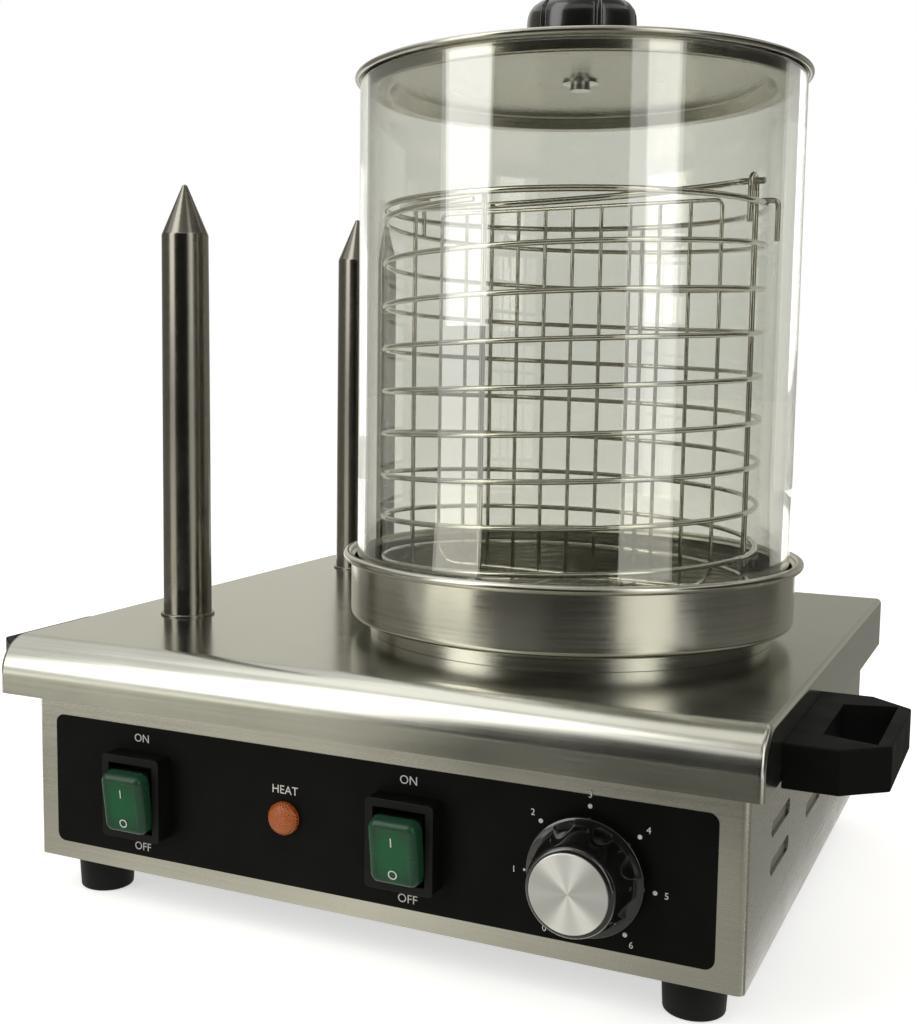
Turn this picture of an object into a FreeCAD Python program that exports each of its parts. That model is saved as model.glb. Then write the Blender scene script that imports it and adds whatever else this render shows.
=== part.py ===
"""Hot dog steamer: a warming cabinet with a steaming pan, a glass, a wire basket and two bread spikes.

The part stands on its feet. Millimetres, Z up, X to the right seen from the front, and the
front panel faces -Y. The origin is the middle of the whole outline on the floor.
"""
import FreeCAD, Part
import math
import os

import Sketcher
from FreeCAD import Placement, Rotation, Vector

SIZES = {
    # Casing and base plate
    "case_width": 324.0,
    "case_depth": 282.0,
    "case_height": 101.7,
    "case_sheet": 1.0,
    "case_fold_radius": 3.0,
    "case_flange_width": 6.5,
    "base_plate_sheet": 1.0,
    "sheet_clearance": 0.3,
    "plate_screw_inset": 3.9,
    "plate_screw_radius": 1.5,
    "plate_screw_head_radius": 2.5,
    "plate_screw_head_height": 1.4,
    "plate_screw_reach": 3.0,
    "plate_screw_end_share": 0.25,
    # Top cover
    "cover_width": 339.6,
    "cover_front_overhang": 16.5,
    "cover_rear_overhang": 10.0,
    "cover_sheet": 1.0,
    "cover_skirt_height": 24.8,
    "cover_front_radius": 16.0,
    "cover_fold_radius": 2.5,
    "cover_lip_width": 5.0,
    # Feet
    "foot_drop": 17.5,
    "foot_top_radius": 13.0,
    "foot_bottom_radius": 12.0,
    "foot_inset_x": 22.5,
    "foot_inset_y": 20.0,
    "foot_recess_radius": 6.0,
    "foot_recess_depth": 6.0,
    # Screws and nuts
    "screw_radius": 2.0,
    "screw_head_radius": 4.0,
    "screw_head_height": 2.4,
    "screw_reach": 5.0,
    "nut_width": 7.0,
    "nut_height": 3.2,
    "screw_clearance": 0.15,
    # Side handles
    "handle_reach": 36.2,
    "handle_length": 90.0,
    "handle_height": 17.0,
    "handle_front_setback": 14.0,
    "handle_drop": 27.7,
    "handle_flange": 11.0,
    "handle_grip": 5.0,
    "handle_chamfer_out": 16.0,
    "handle_chamfer_along": 14.0,
    "handle_arm": 20.0,
    "handle_edge_radius": 1.0,
    "handle_screw_spacing": 60.0,
    "handle_screw_depth_share": 0.7,
    # Front control overlay
    "overlay_width": 302.5,
    "overlay_height": 59.0,
    "overlay_lift": 7.8,
    "overlay_thickness": 0.4,
    "overlay_corner_radius": 4.0,
    # Rocker switches
    "switch_left_x": -103.6,
    "switch_right_x": 27.0,
    "switch_level": 36.8,
    "bezel_width": 30.0,
    "bezel_height": 37.0,
    "bezel_depth": 9.0,
    "bezel_edge_radius": 2.0,
    "rocker_window_width": 23.0,
    "rocker_window_height": 30.0,
    "rocker_gap": 0.4,
    "rocker_edge_gap": 1.2,
    "rocker_face_height": 15.2,
    "rocker_back_height": 5.0,
    "rocker_keel_height": 2.2,
    "rocker_keel_half": 4.0,
    "rocker_pivot_height": 4.0,
    "rocker_pin_radius": 1.5,
    "rocker_pin_length": 1.5,
    "rocker_tilt": 8.0,
    "rocker_edge_radius": 2.0,
    "pin_clearance": 0.05,
    "switch_body_width": 25.4,
    "switch_body_height": 32.4,
    "switch_body_depth": 24.0,
    "switch_terminal_width": 6.3,
    "switch_terminal_thick": 0.8,
    "switch_terminal_length": 9.0,
    "switch_terminal_spread_x": 12.0,
    "switch_terminal_spread_z": 18.0,
    # Pilot lamp
    "lamp_x": -30.4,
    "lamp_level": 37.1,
    "lamp_lens_radius": 7.0,
    "lamp_lens_height": 5.0,
    "lamp_lens_rim": 2.0,
    "lamp_dome_low_radius_share": 0.85,
    "lamp_dome_low_height_share": 0.72,
    "lamp_dome_high_radius_share": 0.5,
    "lamp_dome_high_height_share": 0.94,
    "lamp_barrel_radius": 5.0,
    "lamp_barrel_length": 26.0,
    "lamp_nut_width": 14.0,
    "lamp_nut_height": 3.0,
    # Thermostat and its dial
    "dial_x": 102.7,
    "dial_level": 36.5,
    "knob_gap": 3.2,
    "knob_skirt_radius": 23.2,
    "knob_skirt_height": 3.0,
    "knob_body_radius": 21.0,
    "knob_front_radius": 16.5,
    "knob_height": 20.0,
    "knob_scallop_radius": 6.0,
    "knob_scallop_bite": 2.6,
    "knob_scallops": 8.0,
    "knob_cap_radius": 15.2,
    "knob_cap_thick": 0.8,
    "shaft_radius": 3.0,
    "shaft_depth_in_knob": 12.0,
    "shaft_depth_in_body": 9.0,
    "thermostat_radius": 18.0,
    "thermostat_depth": 16.0,
    "thermostat_screw_spacing": 28.0,
    "thermostat_head_height": 2.0,
    # Pan and its collar
    "pan_x": 47.3,
    "pan_setback": 130.2,
    "pan_sheet": 1.0,
    "pan_glass_gap": 1.8,
    "pan_rim_overhang": 1.8,
    "pan_bead_radius": 1.9,
    "pan_rim_level": 37.2,
    "pan_shoulder_level": 7.2,
    "pan_well_radius": 83.0,
    "collar_radius": 93.6,
    "collar_thick": 2.4,
    "collar_height": 6.0,
    "collar_edge_radius": 1.0,
    # Heater under the pan
    "heater_opening_radius": 80.0,
    "heater_plate_radius": 75.0,
    "heater_plate_thick": 8.0,
    "element_ring_radius": 55.0,
    "element_tube_radius": 3.2,
    "element_terminal_spread": 24.0,
    "element_terminal_length": 18.0,
    "element_terminal_radius": 2.0,
    "clamp_bar_length": 136.0,
    "clamp_bar_width": 20.0,
    "clamp_bar_thick": 2.0,
    "clamp_stud_radius": 3.0,
    "clamp_nut_width": 10.0,
    "clamp_nut_height": 5.0,
    "stud_end": 2.0,
    "cutout_radius": 8.0,
    "cutout_height": 9.0,
    "cutout_offset": 30.0,
    # Glass
    "glass_radius": 100.0,
    "glass_wall": 3.5,
    "glass_height": 242.0,
    "seat_gap": 0.1,
    # Lid and its knob
    "lid_sheet": 1.0,
    "lid_bead_radius": 1.4,
    "lid_bead_lift": 0.2,
    "lid_step_radius": 95.6,
    "lid_step_depth": 5.4,
    "lid_channel_radius": 87.0,
    "lid_rise_radius": 83.0,
    "lid_centre_rise": 1.6,
    "lid_hub_radius": 26.0,
    "lid_knob_radius": 24.7,
    "lid_knob_height": 34.0,
    "lid_knob_neck_radius": 11.0,
    "lid_knob_neck_height": 14.0,
    "lid_knob_edge": 7.0,
    "lid_knob_corner_low_in_share": 0.18,
    "lid_knob_corner_low_drop_share": 0.52,
    "lid_knob_corner_high_in_share": 0.6,
    "lid_knob_corner_high_drop_share": 0.16,
    "lid_knob_corner_top_in_share": 1.3,
    "lid_knob_under": 3.0,
    "lid_screw_radius": 2.5,
    "lid_screw_head_radius": 4.5,
    "lid_screw_head_height": 3.0,
    "lid_screw_depth": 16.0,
    "lid_washer_radius": 8.0,
    "lid_washer_thick": 1.0,
    # Basket
    "basket_coil_radius": 86.5,
    "basket_aside": 2.0,
    "basket_coil_wire": 1.2,
    "basket_coil_pitch": 19.3,
    "basket_coil_start_level": 12.8,
    "basket_coil_start_angle": 171.5,
    "basket_coil_quarters": 37.0,
    "basket_rim_level": 194.3,
    "basket_rim_wire": 1.4,
    "basket_ring_wire": 1.5,
    "basket_grid_wire": 0.9,
    "basket_grid_pitch": 14.1,
    "basket_grid_pairs": 5.0,
    "basket_upright_wire": 1.2,
    "basket_turn": -6.0,
    "divider_low_level": 26.0,
    "divider_top_level": 196.0,
    "divider_low_bend": 10.0,
    "divider_top_bend": 3.0,
    "divider_leg_row": 2.0,
    "basket_lift_gap": 0.2,
    "weld_gap": 0.05,
    "hook_drop": 15.0,
    "hook_reach": 2.3,
    "hook_sink": 0.2,
    "hook_angle": 6.0,
    # Bail and its loops
    "loop_wire": 1.2,
    "loop_half_width": 4.0,
    "loop_top_level": 207.1,
    "loop_short_leg": 16.0,
    "bail_wire": 1.4,
    "bail_radius": 77.5,
    "bail_bend": 3.0,
    "bail_pin_reach": 88.3,
    "bail_tilt": 10.0,
    "bail_pin_gap": 0.2,
    # Bread spikes
    "spike_wall_distance": 34.9,
    "spike_front_setback": 74.3,
    "spike_rear_distance": 31.4,
    "spike_height": 208.2,
    "spike_root_radius": 11.8,
    "spike_top_radius": 11.2,
    "spike_tip_length": 24.0,
    "spike_tip_radius": 1.2,
    "spike_collar_radius": 13.2,
    "spike_collar_height": 1.0,
    "spike_stub_radius": 8.0,
    "spike_stub_length": 12.0,
    "spike_bore_radius": 5.0,
    "spike_bore_depth": 150.0,
    "spike_heater_clearance": 0.1,
    "spike_heater_tail": 20.0,
    "spike_nut_width": 22.0,
    "spike_nut_height": 6.0,
    # Louvres in the side walls
    "louvre_length": 38.0,
    "louvre_height": 6.5,
    "louvre_low_level": 33.5,
    "louvre_pitch_z": 15.5,
    "louvre_front_setback": 42.0,
    "louvre_pitch_y": 78.0,
    "louvre_rows": 2.0,
    "louvre_columns": 2.0,
    # Cable inlet and terminals at the rear
    "gland_wall_distance": 52.0,
    "gland_level": 40.0,
    "gland_bore_radius": 4.2,
    "gland_thread_radius": 8.0,
    "gland_hex_width": 22.0,
    "gland_hex_height": 6.0,
    "gland_dome_radius": 9.5,
    "gland_dome_end_share": 0.75,
    "gland_reach": 14.0,
    "gland_inner_length": 10.0,
    "gland_nut_height": 4.0,
    "terminal_block_length": 44.0,
    "terminal_block_width": 18.0,
    "terminal_block_height": 15.0,
    "terminal_block_wall_distance": 102.0,
    "terminal_block_rear_distance": 46.0,
    "terminal_screw_radius": 2.0,
    "terminal_screw_height": 2.0,
    "terminal_screw_place_share": 0.25,
    "terminal_poles": 3.0,
    # One overrun serves every cut
    "overrun": 1.0,
}

doc = FreeCAD.newDocument("hot_dog_steamer")
sheet = doc.addObject("Spreadsheet::Sheet", "Sizes")
for row, (alias, number) in enumerate(SIZES.items(), start=1):
    sheet.set(f"A{row}", alias)
    sheet.set(f"B{row}", str(number))
    sheet.setAlias(f"B{row}", alias)
doc.recompute()


class Size:
    """A length with the sheet formula that gives it."""

    def __init__(self, value, formula):
        self.value = float(value)
        self.formula = formula

    def __add__(self, other):
        other = as_size(other)
        return Size(self.value + other.value, f"({self.formula} + {other.formula})")

    def __sub__(self, other):
        other = as_size(other)
        return Size(self.value - other.value, f"({self.formula} - {other.formula})")

    def __mul__(self, other):
        other = as_size(other)
        return Size(self.value * other.value, f"({self.formula} * {other.formula})")

    def __truediv__(self, other):
        other = as_size(other)
        return Size(self.value / other.value, f"({self.formula} / {other.formula})")

    def __neg__(self):
        return Size(-self.value, f"(0 - {self.formula})")


def root(length):
    """The square root of a size."""
    return Size(math.sqrt(length.value), f"sqrt({length.formula})")


def at_least_zero(length):
    """The size itself, or zero where it would be negative."""
    return Size(max(length.value, 0), f"max({length.formula}; 0)")


def as_size(number):
    """A plain count or share becomes a Size, so that it can stand in a formula."""
    if isinstance(number, Size):
        return number
    return Size(number, repr(float(number)))


class Sheet:
    """The sheet's cells as sizes, one attribute for each alias."""

    def __getattr__(self, alias):
        return Size(getattr(sheet, alias), f"Sizes.{alias}")


s = Sheet()
ZERO = as_size(0)
nodes = []


def node(label, thing):
    """Names a finished sub-part, which is written to a file of that name."""
    thing.Label = label
    nodes.append(thing)
    return thing


def place(thing, at, rotation=Rotation()):
    """Puts a thing at a point given in sizes."""
    thing.Placement = Placement(Vector(*[length.value for length in at]), rotation)
    for letter, length in zip("xyz", at):
        thing.setExpression(f"Placement.Base.{letter}", length.formula)
    return thing


TO_X = Rotation(Vector(0, 1, 0), 90)
TO_FRONT = Rotation(Vector(1, 0, 0), 90)
TO_REAR = Rotation(Vector(1, 0, 0), -90)
UPRIGHT = Rotation()


def solid(kind, name, sizes, at, rotation=UPRIGHT):
    """A primitive whose sizes and place follow the sheet."""
    thing = doc.addObject(f"Part::{kind}", name)
    for prop, length in sizes.items():
        thing.setExpression(prop, length.formula)
    return place(thing, at, rotation)


def box(name, dx, dy, dz, at):
    """A box from its low corner."""
    return solid("Box", name, {"Length": dx, "Width": dy, "Height": dz}, at)


def rod(name, radius, length, at, rotation=UPRIGHT):
    """A round bar from the middle of its first end."""
    return solid("Cylinder", name, {"Radius": radius, "Height": length}, at, rotation)


def cone(name, low, high, height, at, rotation=UPRIGHT):
    """A tapered round bar from the middle of its first end."""
    return solid("Cone", name, {"Radius1": low, "Radius2": high, "Height": height}, at, rotation)


def ring(name, radius, wire, at, rotation=UPRIGHT):
    """A ring of round wire."""
    return solid("Torus", name, {"Radius1": radius, "Radius2": wire}, at, rotation)


def hexagon(name, across, height, at, rotation=UPRIGHT):
    """A hexagonal bar given by its width across the flats."""
    thing = doc.addObject("Part::Prism", name)
    thing.Polygon = 6
    thing.setExpression("Circumradius", f"{across.formula} / (2 * cos(30))")
    thing.setExpression("Height", height.formula)
    return place(thing, at, rotation)


def fuse(name, things):
    """Several things welded into one."""
    thing = doc.addObject("Part::MultiFuse", name)
    thing.Shapes = things
    thing.Refine = True
    return thing


def cut(name, base, tools):
    """A base with every tool taken away."""
    tool = tools[0] if len(tools) == 1 else fuse(name + "_tools", tools)
    thing = doc.addObject("Part::Cut", name)
    thing.Base = base
    thing.Tool = tool
    thing.Refine = True
    return thing


def group(name, things):
    """Alike pieces kept together as separate solids."""
    thing = doc.addObject("Part::Compound", name)
    thing.Links = things
    return thing


def new_sketch(body, name, plane):
    """A sketch on one of a body's own origin planes."""
    sketch = body.newObject("Sketcher::SketchObject", name)
    support = [plane_of for plane_of in body.Origin.OriginFeatures if plane_of.Role == plane]
    sketch.AttachmentSupport = (support[0], [""])
    sketch.MapMode = "FlatFace"
    return sketch


def pin_point(sketch, geo, pos, across, up):
    """Fixes one end of a sketch line by its distances from the origin."""
    for kind, axis, length in (("DistanceX", -2, across), ("DistanceY", -1, up)):
        if length.value == 0:
            sketch.addConstraint(Sketcher.Constraint("PointOnObject", geo, pos, axis))
            continue
        index = sketch.addConstraint(Sketcher.Constraint(kind, -1, 1, geo, pos, length.value))
        sketch.setExpression(f"Constraints[{index}]", length.formula)


def unit_step(start, end):
    """The direction from one outline corner to the next along an axis."""
    across = end[0].value - start[0].value
    up = end[1].value - start[1].value
    length = math.hypot(across, up)
    return (across / length, up / length)


def add_outline(sketch, corners):
    """Draws a closed outline; a corner with a third size is rounded, between level and upright edges."""
    count = len(corners)
    starts = []
    ends = []
    arcs = []
    for index, corner in enumerate(corners):
        back = unit_step(corner, corners[index - 1])
        ahead = unit_step(corner, corners[(index + 1) % count])
        if len(corner) == 2:
            ends.append((corner[0], corner[1]))
            starts.append((corner[0], corner[1]))
            arcs.append(None)
            continue
        radius = corner[2]
        ends.append((corner[0] + radius * round(back[0]), corner[1] + radius * round(back[1])))
        starts.append((corner[0] + radius * round(ahead[0]), corner[1] + radius * round(ahead[1])))
        middle = (
            corner[0] + radius * round(back[0] + ahead[0]),
            corner[1] + radius * round(back[1] + ahead[1]),
        )
        arcs.append((middle, back[0] * ahead[1] - back[1] * ahead[0]))
    lines = []
    for index in range(count):
        start = starts[index]
        end = ends[(index + 1) % count]
        segment = Part.LineSegment(
            Vector(start[0].value, start[1].value, 0), Vector(end[0].value, end[1].value, 0)
        )
        lines.append(sketch.addGeometry(segment, False))
    for index in range(count):
        line = lines[index]
        before = lines[index - 1]
        pin_point(sketch, line, 1, *starts[index])
        if arcs[index] is None:
            sketch.addConstraint(Sketcher.Constraint("Coincident", before, 2, line, 1))
            continue
        pin_point(sketch, before, 2, *ends[index])
        middle, turn = arcs[index]
        centre = Vector(middle[0].value, middle[1].value, 0)
        first = ends[index] if turn < 0 else starts[index]
        last = starts[index] if turn < 0 else ends[index]
        angles = [
            math.atan2(point[1].value - centre.y, point[0].value - centre.x) for point in (first, last)
        ]
        circle = Part.Circle(centre, Vector(0, 0, 1), corners[index][2].value)
        arc = sketch.addGeometry(Part.ArcOfCircle(circle, angles[0], angles[1]), False)
        joined = ((before, 2), (line, 1)) if turn < 0 else ((line, 1), (before, 2))
        sketch.addConstraint(Sketcher.Constraint("Coincident", arc, 1, *joined[0]))
        sketch.addConstraint(Sketcher.Constraint("Coincident", arc, 2, *joined[1]))
        if middle[0].value == 0:
            sketch.addConstraint(Sketcher.Constraint("PointOnObject", arc, 3, -2))
            continue
        fixed = sketch.addConstraint(Sketcher.Constraint("DistanceX", -1, 1, arc, 3, middle[0].value))
        sketch.setExpression(f"Constraints[{fixed}]", middle[0].formula)


def rectangle(left, right, low, high, radius=None):
    """The four corners of an upright rectangle, rounded alike if a radius is given."""
    corners = [(left, low), (right, low), (right, high), (left, high)]
    if radius is None:
        return corners
    return [corner + (radius,) for corner in corners]


def padded(name, plane, outlines, length, midplane=False):
    """A body made by padding a sketch of closed outlines."""
    body = doc.addObject("PartDesign::Body", name)
    sketch = new_sketch(body, name + "_outline", plane)
    for corners in outlines:
        add_outline(sketch, corners)
    pad = body.newObject("PartDesign::Pad", name + "_pad")
    pad.Profile = sketch
    pad.setExpression("Length", length.formula)
    pad.Midplane = midplane
    return body


def turned(name, corners):
    """A body made by turning an outline of radii and heights about its own Z axis."""
    body = doc.addObject("PartDesign::Body", name)
    sketch = new_sketch(body, name + "_outline", "XZ_Plane")
    add_outline(sketch, corners)
    revolution = body.newObject("PartDesign::Revolution", name + "_turn")
    revolution.Profile = sketch
    revolution.ReferenceAxis = (sketch, ["V_Axis"])
    revolution.Angle = 360
    return body


def rounded(name, body, radius, chosen):
    """Rounds the edges of a body's tip that a test picks out."""
    doc.recompute()
    tip = body.Tip
    edges = [
        f"Edge{number}" for number, edge in enumerate(tip.Shape.Edges, start=1) if chosen(edge)
    ]
    fillet = body.newObject("PartDesign::Fillet", name)
    fillet.Base = (tip, edges)
    fillet.setExpression("Radius", radius.formula)
    body.Tip = fillet
    return fillet


def shaped(label, shape):
    """A sub-part whose form is worked out from the sheet's sizes directly."""
    thing = doc.addObject("Part::Feature", label)
    thing.Shape = shape
    thing.Placement = Placement()
    return node(label, thing)


# Levels and places that the pieces share
front_reach = s.overlay_thickness + s.knob_gap + s.knob_height + s.knob_cap_thick
front_y = (front_reach - s.gland_reach - s.case_depth) / 2
rear_y = front_y + s.case_depth
half_case = s.case_width / 2
half_cover = s.cover_width / 2
case_bottom = s.foot_drop
flange_top = case_bottom + s.case_sheet
plate_top = flange_top + s.base_plate_sheet
case_top = case_bottom + s.case_height
cover_top = case_top + s.cover_sheet
skirt_bottom = cover_top - s.cover_skirt_height
face_y = front_y - s.overlay_thickness
pan_y = front_y + s.pan_setback
shoulder_top = cover_top + s.pan_shoulder_level + s.pan_sheet
glass_top = shoulder_top + s.seat_gap + s.glass_height
lid_bottom = glass_top + s.seat_gap
hole_radius = s.screw_radius + s.screw_clearance


gland_x = s.gland_wall_distance - half_case


def foot_places():
    """Where the four feet stand, with their names."""
    half = half_case - s.foot_inset_x
    for side, x in (("left", -half), ("right", half)):
        for end, y in (("front", front_y + s.foot_inset_y), ("rear", rear_y - s.foot_inset_y)):
            yield f"{end}_{side}", x, y


def switch_places():
    """Where the two rocker switches sit, with their names."""
    return (("left", s.switch_left_x), ("right", s.switch_right_x))


def make_casing():
    """Four folded walls with a narrow flange turned in at the foot, and the cut-outs in them."""
    body = padded(
        "casing_walls",
        "XY_Plane",
        [
            rectangle(-half_case, half_case, front_y, rear_y, s.case_fold_radius),
            rectangle(
                -half_case + s.case_sheet,
                half_case - s.case_sheet,
                front_y + s.case_sheet,
                rear_y - s.case_sheet,
                s.case_fold_radius - s.case_sheet,
            ),
        ],
        s.case_height,
    )
    sketch = new_sketch(body, "casing_flange_outline", "XY_Plane")
    inset = s.case_fold_radius
    add_outline(
        sketch, rectangle(-half_case, half_case, front_y, rear_y, inset)
    )
    add_outline(
        sketch,
        rectangle(
            -half_case + s.case_flange_width,
            half_case - s.case_flange_width,
            front_y + s.case_flange_width,
            rear_y - s.case_flange_width,
        ),
    )
    flange = body.newObject("PartDesign::Pad", "casing_flange")
    flange.Profile = sketch
    flange.setExpression("Length", s.case_sheet.formula)
    place(body, (ZERO, ZERO, case_bottom))
    tools = []
    wall_start = front_y - s.overrun
    wall_cut = s.case_sheet + s.overrun * 2
    for side, x in switch_places():
        tools.append(
            box(
                f"casing_switch_hole_{side}",
                s.switch_body_width + s.sheet_clearance * 2,
                wall_cut,
                s.switch_body_height + s.sheet_clearance * 2,
                (
                    x - s.switch_body_width / 2 - s.sheet_clearance,
                    wall_start,
                    case_bottom + s.switch_level - s.switch_body_height / 2 - s.sheet_clearance,
                ),
            )
        )
    tools.append(
        rod(
            "casing_lamp_hole",
            s.lamp_barrel_radius + s.sheet_clearance,
            wall_cut,
            (s.lamp_x, wall_start, case_bottom + s.lamp_level),
            TO_REAR,
        )
    )
    tools.append(
        rod(
            "casing_shaft_hole",
            s.shaft_radius + s.sheet_clearance,
            wall_cut,
            (s.dial_x, wall_start, case_bottom + s.dial_level),
            TO_REAR,
        )
    )
    for name, x in thermostat_screw_places():
        tools.append(
            rod(
                f"casing_thermostat_hole_{name}",
                hole_radius,
                wall_cut,
                (x, wall_start, case_bottom + s.dial_level),
                TO_REAR,
            )
        )
    tools.append(
        rod(
            "casing_gland_hole",
            s.gland_thread_radius + s.sheet_clearance,
            wall_cut,
            (gland_x, rear_y - s.case_sheet - s.overrun, case_bottom + s.gland_level),
            TO_REAR,
        )
    )
    for name, x, y in plate_screw_places():
        tools.append(
            rod(
                f"casing_plate_hole_{name}",
                s.plate_screw_radius + s.screw_clearance,
                s.case_sheet + s.overrun * 2,
                (x, y, case_bottom - s.overrun),
            )
        )
    nose_depth = at_least_zero(s.cover_front_radius - s.cover_front_overhang)
    nose_inner = s.cover_front_radius - s.cover_sheet
    nose_fall = nose_inner - root(nose_inner * nose_inner - nose_depth * nose_depth)
    tools.append(
        box(
            "casing_nose_relief",
            s.case_width + s.overrun * 2,
            nose_depth + s.overrun,
            nose_fall + s.sheet_clearance + s.overrun,
            (
                -half_case - s.overrun,
                front_y - s.overrun,
                case_top - nose_fall - s.sheet_clearance,
            ),
        )
    )
    end_radius = s.louvre_height / 2
    for side, x in (("left", -half_case - s.overrun), ("right", half_case - s.case_sheet - s.overrun)):
        for row in range(int(s.louvre_rows.value)):
            for column in range(int(s.louvre_columns.value)):
                name = f"louvre_{side}_{row}_{column}"
                low_y = front_y + s.louvre_front_setback + s.louvre_pitch_y * column
                middle = case_bottom + s.louvre_low_level + s.louvre_pitch_z * row
                tools.append(
                    box(
                        name,
                        wall_cut,
                        s.louvre_length - s.louvre_height,
                        s.louvre_height,
                        (x, low_y + end_radius, middle - end_radius),
                    )
                )
                for end, y in (("a", low_y + end_radius), ("b", low_y + s.louvre_length - end_radius)):
                    tools.append(rod(name + end, end_radius, wall_cut, (x, y, middle), TO_X))
    node("casing", cut("casing_with_holes", body, tools))


def plate_screw_places():
    """Where small screws hold the base plate to the casing's flange."""
    inset = s.plate_screw_inset
    for side, x in (("left", -half_case + inset), ("right", half_case - inset)):
        from_end = s.case_depth * s.plate_screw_end_share
        for end, y in (("front", front_y + from_end), ("rear", rear_y - from_end)):
            yield f"{end}_{side}", x, y


def make_base_plate():
    """A flat plate that lies on the casing's flange and carries the feet."""
    gap = s.case_sheet + s.sheet_clearance
    body = padded(
        "base_plate_blank",
        "XY_Plane",
        [
            rectangle(
                -half_case + gap,
                half_case - gap,
                front_y + gap,
                rear_y - gap,
                s.case_fold_radius,
            )
        ],
        s.base_plate_sheet,
    )
    place(body, (ZERO, ZERO, flange_top))
    tools = []
    for name, x, y in foot_places():
        tools.append(
            rod(
                f"plate_hole_{name}",
                hole_radius,
                s.base_plate_sheet + s.overrun * 2,
                (x, y, flange_top - s.overrun),
            )
        )
    screws = []
    for name, x, y in plate_screw_places():
        tools.append(
            rod(
                f"plate_screw_hole_{name}",
                s.plate_screw_radius + s.screw_clearance,
                s.base_plate_sheet + s.overrun * 2,
                (x, y, flange_top - s.overrun),
            )
        )
        head = rod(
            f"plate_screw_head_{name}",
            s.plate_screw_head_radius,
            s.plate_screw_head_height,
            (x, y, case_bottom - s.plate_screw_head_height),
        )
        shank = rod(
            f"plate_screw_shank_{name}",
            s.plate_screw_radius,
            s.case_sheet + s.base_plate_sheet + s.plate_screw_reach,
            (x, y, case_bottom),
        )
        screws.append(fuse(f"plate_screw_{name}", [head, shank]))
    node("base_plate", cut("base_plate_drilled", body, tools))
    node("base_plate_screws", group("plate_screw_group", screws))


def make_feet():
    """Four tapered rubber feet, each recessed below for the head of its screw."""
    height = flange_top
    screws = []
    nuts = []
    for name, x, y in foot_places():
        blank = cone(
            f"foot_{name}_blank", s.foot_bottom_radius, s.foot_top_radius, height, (x, y, ZERO)
        )
        recess = rod(
            f"foot_{name}_recess",
            s.foot_recess_radius,
            s.foot_recess_depth + s.overrun,
            (x, y, -s.overrun),
        )
        hole = rod(f"foot_{name}_hole", hole_radius, height + s.overrun, (x, y, ZERO))
        node(f"foot_{name}", cut(f"foot_{name}_cut", blank, [recess, hole]))
        head_z = s.foot_recess_depth - s.screw_head_height
        head = rod(
            f"foot_screw_{name}_head", s.screw_head_radius, s.screw_head_height, (x, y, head_z)
        )
        shank = rod(
            f"foot_screw_{name}_shank",
            s.screw_radius,
            plate_top + s.screw_reach - head_z,
            (x, y, head_z),
        )
        screws.append(fuse(f"foot_screw_{name}", [head, shank]))
        blank_nut = hexagon(f"foot_nut_{name}_blank", s.nut_width, s.nut_height, (x, y, plate_top))
        bore = rod(
            f"foot_nut_{name}_bore",
            s.screw_radius + s.pin_clearance,
            s.nut_height + s.overrun * 2,
            (x, y, plate_top - s.overrun),
        )
        nuts.append(cut(f"foot_nut_{name}", blank_nut, [bore]))
    node("foot_screws", group("foot_screw_group", screws))
    node("foot_nuts", group("foot_nut_group", nuts))


def cover_block(name, inset, bottom):
    """The outer form of the cover, or of the space inside it: a round nose and folded sides."""
    low_y = front_y - s.cover_front_overhang + inset
    high_y = rear_y + s.cover_rear_overhang - inset
    top = cover_top - inset
    body = padded(
        name,
        "YZ_Plane",
        [
            [
                (low_y, bottom),
                (high_y, bottom),
                (high_y, top, s.cover_fold_radius - inset),
                (low_y, top, s.cover_front_radius - inset),
            ]
        ],
        s.cover_width - inset * 2,
        midplane=True,
    )
    half = (half_cover - inset).value

    def on_side(edge):
        bounds = edge.BoundBox
        flat = bounds.XLength < half / 1e6
        on_wall = abs(abs(bounds.XMin) - half) < half / 1e6
        return flat and on_wall and bounds.ZMax > bottom.value + half / 1e6

    rounded(name + "_folds", body, s.cover_fold_radius - inset, on_side)
    return body


def spike_places():
    """Where the two bread spikes stand, with their names."""
    yield "front", front_y + s.spike_front_setback
    yield "rear", rear_y - s.spike_rear_distance


spike_x = s.spike_wall_distance - (half_case + half_cover) / 2


def handle_screw_places():
    """Distances along Y of the two screws in each side handle."""
    middle = front_y + s.handle_front_setback + s.handle_length / 2
    yield "front", middle - s.handle_screw_spacing / 2
    yield "rear", middle + s.handle_screw_spacing / 2


handle_middle = cover_top - s.handle_drop + s.handle_height / 2


def make_top_cover():
    """The sheet cover: round nose, a lip below it, and the openings for pan and spikes."""
    outer = cover_block("cover_outer", ZERO, skirt_bottom)
    inner = cover_block("cover_inner", s.cover_sheet, skirt_bottom - s.overrun)
    lip = box(
        "cover_lip",
        s.cover_width - s.cover_fold_radius * 2,
        s.cover_lip_width,
        s.cover_sheet,
        (
            -half_cover + s.cover_fold_radius,
            front_y - s.cover_front_overhang + s.cover_sheet / 2,
            skirt_bottom,
        ),
    )
    tools = [
        rod(
            "cover_heater_opening",
            s.heater_opening_radius,
            s.cover_sheet + s.overrun * 2,
            (s.pan_x, pan_y, cover_top - s.cover_sheet - s.overrun),
        )
    ]
    for name, y in spike_places():
        tools.append(
            rod(
                f"cover_spike_hole_{name}",
                s.spike_stub_radius + s.sheet_clearance,
                s.cover_sheet + s.overrun * 2,
                (spike_x, y, cover_top - s.cover_sheet - s.overrun),
            )
        )
    for side, x in (("left", -half_cover - s.overrun), ("right", half_cover - s.cover_sheet - s.overrun)):
        for name, y in handle_screw_places():
            tools.append(
                rod(
                    f"cover_handle_hole_{side}_{name}",
                    hole_radius,
                    s.cover_sheet + s.overrun * 2,
                    (x, y, handle_middle),
                    TO_X,
                )
            )
    shell = cut("cover_shell", outer, [inner])
    node("top_cover", cut("cover_drilled", fuse("cover_with_lip", [shell, lip]), tools))


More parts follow.
